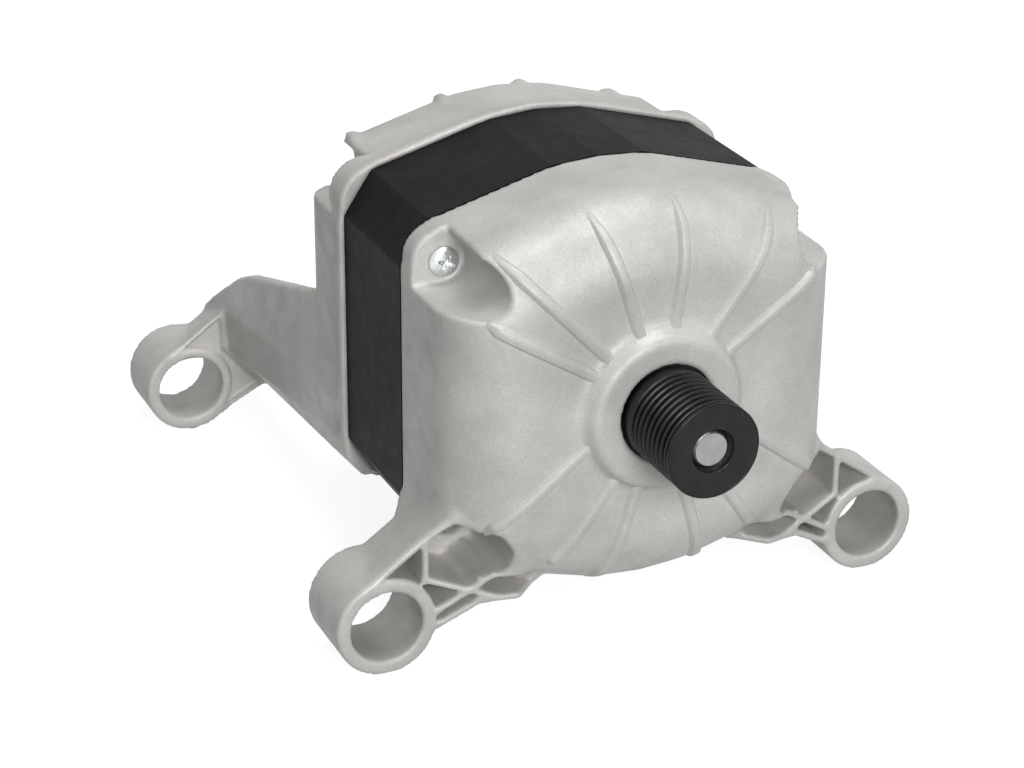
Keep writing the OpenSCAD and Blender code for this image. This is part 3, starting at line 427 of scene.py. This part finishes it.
# The legs, the eyes and the lugs, then the cut at the rim.
leg_side = polygon_field(side_x, Z, leg_outline)
lean = ((Z - leg_touch[1]) * math.cos(leg_slope) + (side_x - leg_touch[0]) * math.sin(leg_slope)) * math.cos(
    leg_lean) + (Y - front_eye) * math.sin(leg_lean)
leg = rounded_and(np.maximum(leg_side, lean), polygon_field(side_x, Y, leg_plan), leg_edge)
eye_away = np.hypot(side_x - eye_x, Z - eye_z)
eye_ring = rounded_and(eye_away - eye_r, np.maximum(front_eye - Y, Y - front_eye_end), eye_edge)
lug_away = np.hypot(side_x - screw_x, np.abs(Z) - screw_z)
lug = rounded_and(lug_away - lug_r, lug_face - Y, lug_edge)
shell = filleted_or(shell, leg, leg_fillet)
shell = filleted_or(shell, lug, lug_fillet)
shell = filleted_or(shell, eye_ring, eye_fillet)
shell = rounded_and(shell, Y - rim, rim_edge)
shell = np.maximum(shell, np.where(side_x > eye_side, Y - front_eye_end, far_inside))


def scoop_plan(x, z):
    """Distance outside the plan of an upper corner's scoop: a circle that runs on outward and upward."""
    across, up = x - screw_x - scoop_shift, z - screw_z - scoop_shift
    plan = np.minimum(np.hypot(across, up) - scoop_r, np.maximum(-scoop_r * scoop_side - across, -up))
    return np.minimum(plan, np.maximum(-across, -scoop_r - up))


def pocket_plan(x, z):
    """Distance outside the plan of a leg's pocket: the leg's outline less its wall, joined to the screw's circle."""
    return np.minimum(polygon_field(x, z, leg_outline) + leg_wall, np.hypot(x - screw_x, z + screw_z) - scoop_r)


scoop = rounded_and(scoop_plan(side_x, Z), Y - lug_face, scoop_floor_r)
shell = rounded_and(shell, -scoop, scoop_edge)

# The pockets in the legs, with their ribs, the channel at the dome's foot and the seats of the lower screws.
pocket = np.maximum(pocket_plan(side_x, Z), lean + leg_wall)
pocket = np.maximum(pocket, np.minimum(dome_corner_z - Z, dome_corner_x - side_x))
pocket = rounded_and(pocket, pocket_in - side_x, pocket_end_r)
pocket = rounded_and(pocket, Y - pocket_depth, pocket_floor_r)
channel_floor = pocket_depth - channel_rise * np.maximum(channel_x - side_x, 0)
channel = np.maximum(leg_side + leg_wall, np.maximum(Y - channel_floor, -channel_cut - dome))
pocket = np.minimum(pocket, rounded_and(channel, Z - channel_top, channel_edge))
pocket = np.maximum(pocket, eye_r - eye_away)
for start, end in pocket_ribs:
    bar = bar_field(side_x, Z, tuple(eye + start), tuple(eye + end), pocket_rib_width)
    pocket = np.maximum(pocket, -bar)
head_seat = np.maximum(np.hypot(side_x - screw_x, Z + screw_z) - head_seat_r, Y - lug_face)
pocket = np.minimum(pocket, head_seat)
shell = rounded_and(shell, -pocket, pocket_edge)

# The inside, which leaves the bearing's seat, the lugs and the legs solid, and all round holes.
cavity = dome_field(X, Y - plateau, Z, cast_wall, shoulder_r)
cavity = np.maximum(cavity, np.minimum(seat_wall_r - shaft_r, seat_end - Y))
cavity = np.maximum(cavity, scoop_r + scoop_wall - lug_away)
cavity = np.maximum(cavity, -(leg_side - leg_solid))
shell = np.maximum(shell, -cavity)
shell = rounded_and(shell, -np.maximum(shaft_r - hub_hole_r, Y - hub_hole_end), hub_hole_edge)
shell = np.maximum(shell, -np.maximum(shaft_r - seat_bore_r, seat_front - Y))
shell = np.maximum(shell, screw_hole_r - lug_away)
shell = rounded_and(shell, bore_r - eye_away, bore_edge)

front_casting = cast_surface("front_shield_casting", shell, axes, aluminium)
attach(front_casting, "stator")
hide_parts("front_shield", "front_leg_left", "front_leg_right")


def dome_surface(x, z):
    """The dome's depth behind its flat at (x, z), how far it leans there from 0 to 1, and its outward normal. The
    shoulder is a quarter circle: depth = r (1 - sqrt(1 - lean^2)), where lean is 0 on the flat and 1 on the wall."""
    depth = 0
    for _ in range(3):
        lean = np.clip((outline_field(x, z) + dome_draft * (1 - depth / draft_depth)) / shoulder_r + 1, 0, 0.98)
        depth = shoulder_r * (1 - np.sqrt(1 - lean * lean))
    slope = [(outline_field(x + a, z + b) - outline_field(x - a, z - b)) / 0.1 for a, b in ((0.05, 0), (0, 0.05))]
    return depth, lean, np.stack([lean * slope[0], -np.sqrt(1 - lean * lean), lean * slope[1]], -1)


def carried_loop(rings):
    """Points and triangles of a closed tube through rings of points, shut at both ends round their middles."""
    count, size = rings.shape[:2]
    points = np.concatenate([rings.reshape(-1, 3), rings[[0, -1]].mean(1)])
    i, j = np.meshgrid(np.arange(count - 1), np.arange(size), indexing="ij")
    a, b, c, d = (u * size + v % size for u, v in ((i, j), (i + 1, j), (i + 1, j + 1), (i, j + 1)))
    j = np.arange(size)
    following, last = (j + 1) % size, (count - 1) * size
    first_middle, last_middle = 0 * j + count * size, 0 * j + count * size + 1
    corners = ((a, b, c), (a, c, d), (first_middle, j, following), (last_middle, last + following, last + j))
    return points, np.concatenate([np.stack(t, -1).reshape(-1, 3) for t in corners])


def rib_rings(start, angle):
    """A rib's rings: a trapezium carried along a ray, each point set off the dome's surface along its normal by the
    rib's height there, which falls to nothing where the dome leans over and where a scoop or a pocket begins."""
    along = np.linspace(0, rib_reach, rib_steps)[:, None]
    x, z = start[0] + along * math.cos(angle), start[1] + along * math.sin(angle)
    lean = dome_surface(x, z)[1]
    free = np.minimum(scoop_plan(np.abs(x), z), pocket_plan(np.abs(x), z))
    fade = np.clip(np.minimum((rib_end_lean - lean) / 0.3, (free - 0.5) / 2), 0, 1)
    kept = int(np.argmin(fade > 0)) + 1
    x, z, fade = x[:kept], z[:kept], fade[:kept]
    across = rib_half_width * rib_across * (rib_end_width + (1 - rib_end_width) * fade)
    x, z = x - across * math.sin(angle), z + across * math.cos(angle)
    depth, _, normal = dome_surface(x, z)
    height = np.where(rib_rise < 0, rib_rise, rib_rise * rib_height * fade - 0.1 * (1 - fade))
    return np.stack([x, plateau + depth, z], -1) + normal * height[..., None]


rib_starts = [((rib_start_r * math.cos(a), rib_start_r * math.sin(a)), a) for a in radial_ribs]
rib_starts += [(start, a) for start, a in leg_ribs] + [((-start[0], start[1]), math.pi - a) for start, a in leg_ribs]
tubes = [carried_loop(rib_rings(start, a)) for start, a in rib_starts]
firsts = np.cumsum([0] + [len(points) for points, _ in tubes[:-1]])
front_ribs = surface_mesh("front_ribs", np.concatenate([points for points, _ in tubes]),
                          np.concatenate([faces + first for (_, faces), first in zip(tubes, firsts)]), aluminium)
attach(front_ribs, "stator")
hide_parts("front_shield")


# Rear shield: the second casting, with a flange that grips the stack, a window round the commutator, four spokes
# that carry the rear bearing, and two bent arms that end in eyes on the same axes as the front ones.
cup_rear, rear_shoulder_r = 128.7, 8.0
flange_lip, flange_front, flange_edge, flange_fillet, arm_start = 1.5, 96.7, 0.8, 0.8, 100.7
rear_lug_end, rear_lug_fillet, rear_rib_start, rear_rib_reach = 106.5, 1.2, 19.0, 12.0
window_r, window_edge = 30.0, 0.6
upper_ribs = radial_ribs[:6]
rear_seat, rear_seat_end, housing_end = 153.0, 163.0, 164.9
housing_r, housing_bore_r, tail_hole_r, spoke_width, spoke_fillet = 19.5, 16.02, 9.0, 6.0, 1.5
rear_eye, rear_eye_end = 189.7, 209.7
arm_end = rear_eye_end - 0.6
arm_thickness, arm_edge, arm_fillet, hollow_edge = 4.0, 0.8, 2.0, 0.5
web_recess, web_border, web_edge, web_fillet, ring_r, ring_fillet = 2.0, 1.3, 1.0, 2.0, 13.0, 1.5
arm_at_flange = [(54.0, 5.0), (57.5, -23.5), (53.0, -39.7), (50.7, -48.0)]
arm_at_eye = [(57.8, -10.0), (60.6, -30.0), (60.3, -42.7), (47.9, -57.1)]
arm_side = [(4.0, arm_start), (-1.0, cup_rear), (-13.4, 173.7), (-16.8, 181.7), (-21.5, 188.7), (-27.5, 197.7),
            (-35.5, arm_end), (-57.1, arm_end), (-57.1, rear_eye), (-48.0, arm_start)]
web_face = [*arm_at_eye[1:], tuple(eye - 0.71 * eye_r), tuple(eye), tuple(eye + eye_r * np.array([0.56, 0.83]))]
web_slope, web_lean = math.radians(35), math.radians(17)

axes = grid_axes((-88, 96, -70), (88, 211, 58), (0.95, 1.0, 0.95))
X, Y, Z = np.meshgrid(*axes, indexing="ij", sparse=True)
side_x = np.abs(X)
shaft_r = np.hypot(X, Z)
depth = cup_rear - Y


def ridge(x, z, angle):
    """Height of a cooling rib from 0 to 1: a flat crest on a ray from the shaft, with flanks that ease to nothing."""
    du, dv = math.cos(angle), math.sin(angle)
    start = (rear_rib_start * du, rear_rib_start * dv)
    along = (x - start[0]) * du + (z - start[1]) * dv
    across = np.abs((x - start[0]) * dv - (z - start[1]) * du)
    return np.clip((rib_half_width + 0.35 - across) / 0.7, 0, 1) * np.clip(along / 2, 0, 1)


# The cup with its ribs, flange, lugs, scoops, inside and window.
ribs = np.zeros(np.broadcast(X, Z).shape)
for angle in upper_ribs:
    ribs = np.maximum(ribs, ridge(X, Z, angle))
ribs = ribs * np.clip((outline_field(X, Z) + rear_shoulder_r) / 3, 0, 1)
lug_away = np.hypot(side_x - screw_x, np.abs(Z) - screw_z)
lug = np.maximum(lug_away - lug_r - flange_lip, Y - rear_lug_end)
flange = rounded_and(outline_field(X, Z, 2.0) - flange_lip, Y - arm_start, flange_edge)
shell = dome_field(X, depth, Z, 0.0, rear_shoulder_r) - rib_height * ribs * np.clip(
    (rear_rib_reach - depth) / 8, 0, 1)
shell = filleted_or(shell, flange, flange_fillet)
shell = filleted_or(shell, lug, rear_lug_fillet)
shell = rounded_and(shell, flange_front - Y, 0.5)
scoop = rounded_and(scoop_plan(side_x, Z), rear_lug_end - Y, 0.6)
shell = rounded_and(shell, -scoop, 0.7)
cavity = dome_field(X, depth, Z, cast_wall, rear_shoulder_r)
cavity = np.maximum(cavity, scoop_r + scoop_wall - lug_away)
shell = np.maximum(shell, -cavity)
shell = np.maximum(shell, -np.maximum(outline_field(X, Z, 1.0) - 0.05, Y - stack_rear))
shell = rounded_and(shell, window_r - shaft_r, window_edge)

along = np.clip((Y - arm_start) / (rear_eye + web_recess - arm_start), 0, 1)


def folded_sheet(starts, ends):
    """How far outside a folded sheet's outer face a point is: the largest distance to the lines through its corners,
    which move evenly from one row of places to the other along the arm."""
    corners = [[a[k] + (b[k] - a[k]) * along for k in (0, 1)] for a, b in zip(starts, ends)]
    field = far_inside
    for (x0, z0), (x1, z1) in zip(corners, corners[1:]):
        field = np.maximum(field, ((side_x - x0) * (z0 - z1) + (Z - z0) * (x1 - x0)) / np.hypot(x1 - x0, z1 - z0))
    return field


# The arms: a folded plate that runs on into a web round the eye, hollowed from the front and from behind.
outer_face = folded_sheet(arm_at_flange, arm_at_eye)
arm = np.maximum(outer_face, -outer_face - arm_thickness)
arm = rounded_and(arm, polygon_field(Z, Y, arm_side), arm_edge)
web_plane = ((Z - arm_at_eye[1][1]) * math.cos(web_slope) + (side_x - arm_at_eye[1][0]) * math.sin(web_slope)
             ) * math.cos(web_lean) + (Y - rear_eye) * math.sin(web_lean)
web = rounded_and(np.maximum(polygon_field(side_x, Z, web_face), web_plane),
                  np.maximum(rear_eye - Y, Y - arm_end), web_edge)
eye_away = np.hypot(side_x - eye_x, Z - eye_z)
eye_ring = rounded_and(eye_away - eye_r, np.maximum(rear_eye - Y, Y - rear_eye_end), eye_edge)
arm = filleted_or(arm, web, web_fillet)
arm = filleted_or(arm, eye_ring, ring_fillet)
arm = np.maximum(arm, np.maximum(arm_start - Y, -cavity))
web_inside = polygon_field(side_x, Z, web_face)
front_hollow = np.maximum(np.maximum(web_inside + web_border, web_plane + web_border), ring_r - eye_away)
front_hollow = np.maximum(front_hollow, Y - rear_eye - web_recess)
rear_hollow = np.maximum(np.maximum(web_inside, eye_r - eye_away) + arm_thickness,
                         rear_eye + web_recess + arm_thickness - Y)
arm = rounded_and(arm, -np.minimum(front_hollow, rear_hollow), hollow_edge)
arm = rounded_and(arm, bore_r - eye_away, bore_edge)
shell = filleted_or(shell, arm, arm_fillet)

# The bearing bridge: four spokes and the housing, then the bores.
spoke_along, spoke_across = (side_x + np.abs(Z)) / math.sqrt(2), np.abs(side_x - np.abs(Z)) / math.sqrt(2)
spoke_side = [(window_r + 1, cup_rear - 1), (window_r + 14, cup_rear - 1), (window_r + 13, cup_rear + cast_wall),
              (housing_r, rear_seat_end), (housing_r - 1.2, rear_seat_end), (housing_r - 1.2, rear_seat + 2)]
spoke = rounded_and(spoke_across - spoke_width / 2, polygon_field(spoke_along, Y, spoke_side), 1.0)
housing = rounded_and(shaft_r - housing_r, np.maximum(rear_seat - 1 - Y, Y - housing_end), 0.8)
shell = filleted_or(shell, filleted_or(spoke, housing, spoke_fillet), spoke_fillet)
shell = np.maximum(shell, -np.maximum(shaft_r - housing_bore_r, Y - rear_seat_end))
shell = np.maximum(shell, tail_hole_r - shaft_r)
shell = np.maximum(shell, screw_hole_r - lug_away)

rear_casting = cast_surface("rear_shield_casting", shell, axes, aluminium)
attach(rear_casting, "stator")
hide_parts("rear_shield", "rear_arm_left", "rear_arm_right", "rear_bearing_bridge")


# Stator stack: stamped sheets of electrical steel, riveted together and dipped in black varnish. The sheets' edges
# still show as fine lines round the stack.
sheet_pitch = 0.65


def waves(tree, pitch, distortion=0.6, rings=False, direction="Y"):
    """A wave texture with that pitch in millimetres: bands along an axis, or rings round it."""
    texture = texture_chain(tree, "ShaderNodeTexWave", math.pi / 10 / (pitch * mm), Distortion=distortion, Detail=1.0,
                            wave_type="RINGS" if rings else "BANDS")
    setattr(texture, "rings_direction" if rings else "bands_direction", direction)
    return texture


def varnished_sheets():
    """Black varnish, thin on the sheets' edges, with dull and bright patches."""
    material, tree, shader = new_finish("black_lamination", (0.016, 0.016, 0.017), 0.0, 0.5)
    shader.inputs["Specular IOR Level"].default_value = 0.06
    cloud = texture_chain(tree, "ShaderNodeTexNoise", 45, Detail=5.0)
    mottle(tree, shader, cloud, (0.007, 0.007, 0.0073), (0.012, 0.012, 0.0124))
    patch = texture_chain(tree, "ShaderNodeTexNoise", 220, Detail=4.0)
    mottle(tree, shader, patch, 0.5, 0.56, "Roughness")
    grain(tree, shader, waves(tree, sheet_pitch), 0.35, 0.0001)
    grain(tree, shader, texture_chain(tree, "ShaderNodeTexNoise", 900, Detail=3.0), 0.25, 0.0001)
    return material


def dress(material, *names):
    """Gives CAD nodes their finish."""
    for name in names:
        mesh = nodes[name].data
        mesh.materials.clear()
        mesh.materials.append(material)


dress(varnished_sheets(), "stator_core")


# Belt pulley: a steel sleeve turned with nine small V grooves, blackened and pressed on the shaft.
belt_pitch, groove_count = 2.34, 9
pulley_r, groove_depth = 12.78, 1.9
pulley_front, pulley_rear, sleeve_end = -10.31, 14.36, 15.98
shaft_nose_r, nose_recess_r, recess_depth, sleeve_r = 5.0, 5.9, 1.9, 8.5
edge_round = 0.7


def turned_surface(name, radius, place, material, steps=144, relief=None, centre=(0.0, 0.0)):
    """A profile of (radius, y) points carried round an axis along y; relief(x, z) moves the points forward.
    A profile that starts and ends on the axis is closed at its poles, and any other is closed on itself."""
    angle = np.linspace(0, 2 * np.pi, steps, endpoint=False)
    r, y = (np.asarray(v, float)[:, None] + 0 * angle for v in (radius, place))
    x, z = r * np.cos(angle), -r * np.sin(angle)
    if relief:
        y = y - relief(x, z, y)
    points = np.stack([x + centre[0], y, z + centre[1]], -1).reshape(-1, 3)
    poles = radius[0] == 0
    i, j = np.meshgrid(np.arange(len(radius) - int(poles)), np.arange(steps), indexing="ij")
    i1, j1 = (i + 1) % len(radius), (j + 1) % steps
    a, b, c, d = (u * steps + v for u, v in ((i, j), (i, j1), (i1, j1), (i1, j)))
    if poles:
        last = (len(radius) - 1) * steps
        a, b, c, d = (np.where(k < steps, 0, np.where(k >= last, last, k)) for k in (a, b, c, d))
    faces = np.concatenate([np.stack(t, -1).reshape(-1, 3) for t in ((a, b, c), (a, c, d))])
    faces = faces[(faces[:, 0] != faces[:, 1]) & (faces[:, 1] != faces[:, 2]) & (faces[:, 2] != faces[:, 0])]
    used, faces = np.unique(faces, return_inverse=True)
    return surface_mesh(name, points[used], faces.reshape(-1, 3), material)


def arc(centre, r, start, end, count=7):
    """Points of a circular arc in (radius, y), angles in degrees from the radius towards +y."""
    angle = np.radians(np.linspace(start, end, count))
    return [(centre[0] + r * math.cos(a), centre[1] + r * math.sin(a)) for a in angle]


def black_turned_steel():
    """Black oxide on turned steel: semi-gloss, with fine rings from the lathe tool."""
    material, tree, shader = new_finish("black_pulley", (0.012, 0.012, 0.013), 0.0, 0.3)
    shader.inputs["Specular IOR Level"].default_value = 0.27
    wear = texture_chain(tree, "ShaderNodeTexNoise", 300, Detail=4.0)
    mottle(tree, shader, wear, (0.006, 0.006, 0.0065), (0.013, 0.013, 0.0135))
    mottle(tree, shader, texture_chain(tree, "ShaderNodeTexNoise", 120, Detail=3.0), 0.24, 0.38, "Roughness")
    grain(tree, shader, waves(tree, 0.45, rings=True), 0.12, 0.00005)
    return material


groove_place = np.linspace(-belt_pitch * groove_count / 2, belt_pitch * groove_count / 2, 24 * groove_count + 1)
from_groove = np.abs((groove_place / belt_pitch + groove_count / 2) % 1 - 0.5) * belt_pitch
flank = np.clip((from_groove - 0.16) / 0.82, 0, 1)
groove_r = pulley_r - groove_depth * (1 - (0.7 * flank + 0.3 * flank * flank * (3 - 2 * flank)))
groove_r = np.where(np.abs(groove_place) > belt_pitch * (groove_count / 2 - 0.02), pulley_r, groove_r)
profile = ([(nose_recess_r, pulley_front + recess_depth)]
           + arc((nose_recess_r + 0.4, pulley_front + 0.4), 0.4, 180, 270, 5)
           + arc((pulley_r - edge_round, pulley_front + edge_round), edge_round, 270, 360)
           + list(zip(groove_r[1:-1], groove_place[1:-1]))
           + arc((pulley_r - 0.5, pulley_rear - 0.5), 0.5, 0, 90, 5)
           + [(sleeve_r, pulley_rear), (sleeve_r, sleeve_end), (shaft_nose_r + 0.02, sleeve_end),
              (shaft_nose_r + 0.02, pulley_front + recess_depth)])
pulley = turned_surface("ribbed_pulley", [q[0] for q in profile], [q[1] for q in profile], black_turned_steel(), 160)
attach(pulley, "rotor")
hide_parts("pulley")


# Long screws: four zinc-plated pan heads with a cross recess. Each clamps both shields to the stack.
head_r, head_height, head_edge, shank_r, screw_end = 4.1, 2.6, 0.75, 2.0, 105.5
cross_reach, cross_width, cross_depth, cross_turn = 2.3, 0.55, 1.5, math.radians(20)
screw_corners = {"upper_left": (-1, 1), "upper_right": (1, 1), "lower_left": (-1, -1), "lower_right": (1, -1)}


def zinc_plating():
    """Bright zinc plating: a cool metal shine with a slight grain."""
    material, tree, shader = new_finish("zinc_plate", (0.74, 0.77, 0.78), 1.0, 0.26)
    mottle(tree, shader, texture_chain(tree, "ShaderNodeTexNoise", 500, Detail=4.0), 0.2, 0.4, "Roughness")
    grain(tree, shader, texture_chain(tree, "ShaderNodeTexNoise", 1800, Detail=2.0), 0.2, 0.00006)
    return material


def cross_recess(x, z, y):
    """How far the head's face is pushed in: a cross whose arms narrow and rise outwards."""
    away = np.hypot(x, z)
    turned = np.arctan2(z, x) + cross_turn
    u, v = np.abs(away * np.cos(turned)), np.abs(away * np.sin(turned))
    width = cross_width * (1 - 0.35 * away / cross_reach)
    arm = np.clip((width - np.minimum(u, v)) / 0.18, 0, 1) * np.clip((cross_reach - away) / 0.25, 0, 1)
    on_face = y < lug_face - 0.3 * head_height
    return -cross_depth * (1 - 0.55 * away / cross_reach) * arm * on_face


zinc = zinc_plating()
face_profile = [(r * head_r, lug_face - head_height + head_edge * r ** 2.6) for r in np.linspace(0, 0.86, 34)]
screw_profile = face_profile + arc((head_r - head_edge, lug_face - 0.85), head_edge, 290, 360, 6)[1:] + [
    (head_r, lug_face - 0.02), (shank_r, lug_face - 0.02), (shank_r, screw_end - 0.6), (shank_r - 0.5, screw_end),
    (0.0, screw_end)]
for tag, (sx, sz) in screw_corners.items():
    screw = turned_surface("long_screw_" + tag, [q[0] for q in screw_profile], [q[1] for q in screw_profile], zinc,
                           120, cross_recess, (sx * screw_x, sz * screw_z))
    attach(screw, "stator")
    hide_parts("stator_screws")


# Shaft and bearings: a ground steel shaft in two sealed ball bearings, with a wave washer behind the hub's lip.
# The shaft's front end is faced on the lathe and bevelled.
def ground_steel(name, colour, roughness, rings=0.1):
    """Bare ground steel: bright, with faint rings round the shaft axis."""
    material, tree, shader = new_finish(name, colour, 1.0, roughness)
    stain = texture_chain(tree, "ShaderNodeTexNoise", 330, Detail=4.0)
    mottle(tree, shader, stain, tuple(0.88 * c for c in colour), colour)
    mottle(tree, shader, texture_chain(tree, "ShaderNodeTexNoise", 700, Detail=2.0), roughness * 0.8, roughness * 1.4,
           "Roughness")
    grain(tree, shader, waves(tree, 0.5, 0.3, rings=True), rings, 0.00006)
    return material


bright_steel = ground_steel("bright_steel", (0.36, 0.36, 0.35), 0.32, 0.35)


def eased_copy(node, width, material, body, segments=2):
    """A copy of a CAD node with its loose triangles joined and its edges rounded to that width in millimetres."""
    piece = nodes[node].copy()
    piece.data = nodes[node].data.copy()
    piece.name = node + "_eased"
    piece.parent = None
    piece.matrix_world = Matrix.Identity(4)
    bpy.context.scene.collection.objects.link(piece)
    weld = piece.modifiers.new("weld", "WELD")
    weld.merge_threshold = 0.002 * mm
    bevel = piece.modifiers.new("bevel", "BEVEL")
    bevel.width = width * mm
    bevel.segments = segments
    bevel.limit_method = "ANGLE"
    bevel.angle_limit = math.radians(35)
    bevel.harden_normals = True
    piece.data.polygons.foreach_set("use_smooth", np.full(len(piece.data.polygons), True))
    piece.data.materials.clear()
    piece.data.materials.append(material)
    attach(piece, body)
    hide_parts(node)
    return piece


def rubber_seal():
    """Moulded black nitrile rubber with a dull skin."""
    material, tree, shader = new_finish("seal_rubber", (0.022, 0.022, 0.022), 0.0, 0.6)
    mottle(tree, shader, texture_chain(tree, "ShaderNodeTexNoise", 400, Detail=3.0), 0.5, 0.72, "Roughness")
    grain(tree, shader, texture_chain(tree, "ShaderNodeTexNoise", 1200, Detail=3.0), 0.2, 0.00008)
    return material


def bare_brass():
    """Drawn brass strip: warm metal with darker handling stains."""
    material, tree, shader = new_finish("brass", (0.75, 0.56, 0.27), 1.0, 0.34)
    mottle(tree, shader, texture_chain(tree, "ShaderNodeTexNoise", 210, Detail=5.0), (0.6, 0.42, 0.19),
           (0.78, 0.6, 0.3))
    mottle(tree, shader, texture_chain(tree, "ShaderNodeTexNoise", 600, Detail=2.0), 0.26, 0.45, "Roughness")
    grain(tree, shader, texture_chain(tree, "ShaderNodeTexNoise", 1500, Detail=2.0), 0.15, 0.00006)
    return material


brass = bare_brass()
rubber = rubber_seal()
dress(bright_steel, "rotor_shaft", "front_bearing_outer_race", "front_bearing_inner_race", "front_bearing_balls",
      "wave_washer", "rear_bearing_outer_race", "rear_bearing_inner_race", "rear_bearing_balls")
dress(rubber, "front_bearing_seals", "rear_bearing_seals")
dress(brass, "front_bearing_cage", "rear_bearing_cage")


# Windings: enamelled copper wire, wound on the poles and in the rotor's slots, then soaked in resin.
def wound_wire(name, direction, pitch):
    """Rows of round copper wire under amber resin, one wave for each wire, across that axis or in rings round y."""
    material, tree, shader = new_finish(name, (0.5, 0.2, 0.08), 0.75, 0.32)
    mottle(tree, shader, texture_chain(tree, "ShaderNodeTexNoise", 120, Detail=4.0), (0.36, 0.12, 0.045),
           (0.62, 0.27, 0.11))
    grain(tree, shader, waves(tree, pitch, 1.2, rings=direction == "Y", direction=direction), 0.9, 0.0003)
    mottle(tree, shader, texture_chain(tree, "ShaderNodeTexNoise", 300, Detail=2.0), 0.22, 0.5, "Roughness")
    return material


dress(wound_wire("copper_wire", "Z", 0.55), "field_coil_left", "field_coil_right")
dress(wound_wire("rotor_wire", "Y", 0.6), "rotor_winding", "tacho_coil")


def moulded_plastic(name, colour, roughness):
    """Moulded plastic: even colour, fine spark-eroded grain and a soft sheen."""
    material, tree, shader = new_finish(name, colour, 0.0, roughness)
    light = tuple(min(1.0, c * 1.18 + 0.004) for c in colour)
    mottle(tree, shader, texture_chain(tree, "ShaderNodeTexNoise", 60, Detail=3.0), colour, light)
    mottle(tree, shader, texture_chain(tree, "ShaderNodeTexNoise", 420, Detail=3.0), roughness * 0.85,
           roughness * 1.2, "Roughness")
    grain(tree, shader, texture_chain(tree, "ShaderNodeTexNoise", 900, Detail=3.0), 0.25, 0.0001)
    return material


ivory = moulded_plastic("ivory_plastic", (0.72, 0.68, 0.56), 0.42)
black_plastic = moulded_plastic("black_plastic", (0.018, 0.018, 0.019), 0.45)
dress(ivory, "pole_insulator_left", "pole_insulator_right", "rotor_end_insulators")
dress(black_plastic, "thermal_protector")


# Rotor: stamped sheets on the shaft, and a commutator of copper bars in brown resin that the brushes polish.
def rotor_sheets():
    """Bare stamped steel with a line for each sheet and straw-coloured heat stains."""
    material, tree, shader = new_finish("rotor_steel", (0.36, 0.36, 0.37), 0.9, 0.4)
    mottle(tree, shader, texture_chain(tree, "ShaderNodeTexNoise", 90, Detail=4.0), (0.3, 0.29, 0.28),
           (0.42, 0.42, 0.43))
    mottle(tree, shader, texture_chain(tree, "ShaderNodeTexNoise", 300, Detail=2.0), 0.3, 0.5, "Roughness")
    grain(tree, shader, waves(tree, sheet_pitch), 0.35, 0.0001)
    return material


def brushed_copper():
    """Copper bars with darker and lighter clouds and faint rings."""
    material, tree, shader = new_finish("copper_bar", (0.62, 0.3, 0.17), 1.0, 0.3)
    mottle(tree, shader, texture_chain(tree, "ShaderNodeTexNoise", 180, Detail=4.0), (0.42, 0.2, 0.12),
           (0.68, 0.36, 0.22))
    grain(tree, shader, waves(tree, 0.4, 0.8), 0.25, 0.00005)
    mottle(tree, shader, texture_chain(tree, "ShaderNodeTexNoise", 500, Detail=2.0), 0.22, 0.42, "Roughness")
    return material


dress(rotor_sheets(), "rotor_core")
dress(brushed_copper(), "commutator_bars")
dress(moulded_plastic("brown_resin", (0.12, 0.055, 0.03), 0.5), "commutator_hub")


# Brush gear: on each side a black moulded holder carries a brass guide, in which a spring pushes a carbon brush
# on the commutator. Screws fix each holder to the rear shield.
def pressed_carbon():
    """Dull grey-black carbon with a fine open grain."""
    material, tree, shader = new_finish("carbon", (0.03, 0.03, 0.032), 0.15, 0.55)
    mottle(tree, shader, texture_chain(tree, "ShaderNodeTexNoise", 800, Detail=4.0), (0.02, 0.02, 0.021),
           (0.05, 0.05, 0.053))
    grain(tree, shader, texture_chain(tree, "ShaderNodeTexNoise", 1600, Detail=3.0), 0.35, 0.0001)
    return material


carbon = pressed_carbon()
for side in ("left", "right"):
    eased_copy("brush_holder_" + side, 0.5, black_plastic, "stator")
    eased_copy("brush_guide_" + side, 0.15, brass, "stator")
    dress(carbon, "carbon_brush_" + side)
    dress(bright_steel, "brush_spring_" + side)
dress(zinc, "brush_holder_screws")


# Speed sensor: a ferrite ring on the shaft's tail turns in a coil, under a black moulded cap with two ears.
def sintered_ferrite():
    """Dark grey ferrite with a chalky grain."""
    material, tree, shader = new_finish("ferrite", (0.07, 0.07, 0.072), 0.1, 0.6)
    mottle(tree, shader, texture_chain(tree, "ShaderNodeTexNoise", 700, Detail=4.0), (0.05, 0.05, 0.05),
           (0.1, 0.1, 0.1))
    grain(tree, shader, texture_chain(tree, "ShaderNodeTexNoise", 1300, Detail=3.0), 0.3, 0.0001)
    return material


dress(sintered_ferrite(), "tacho_magnet")
eased_copy("tacho_cover", 0.5, black_plastic, "stator", 3)
dress(zinc, "tacho_cover_screws")


# Terminals: an ivory socket with five flat brass pins and a blank key place, and an earth tab under a brass screw.
eased_copy("connector_housing", 0.35, ivory, "stator")
eased_copy("connector_pins", 0.15, brass, "stator")
dress(zinc, "earth_tab")
dress(brass, "earth_screw")
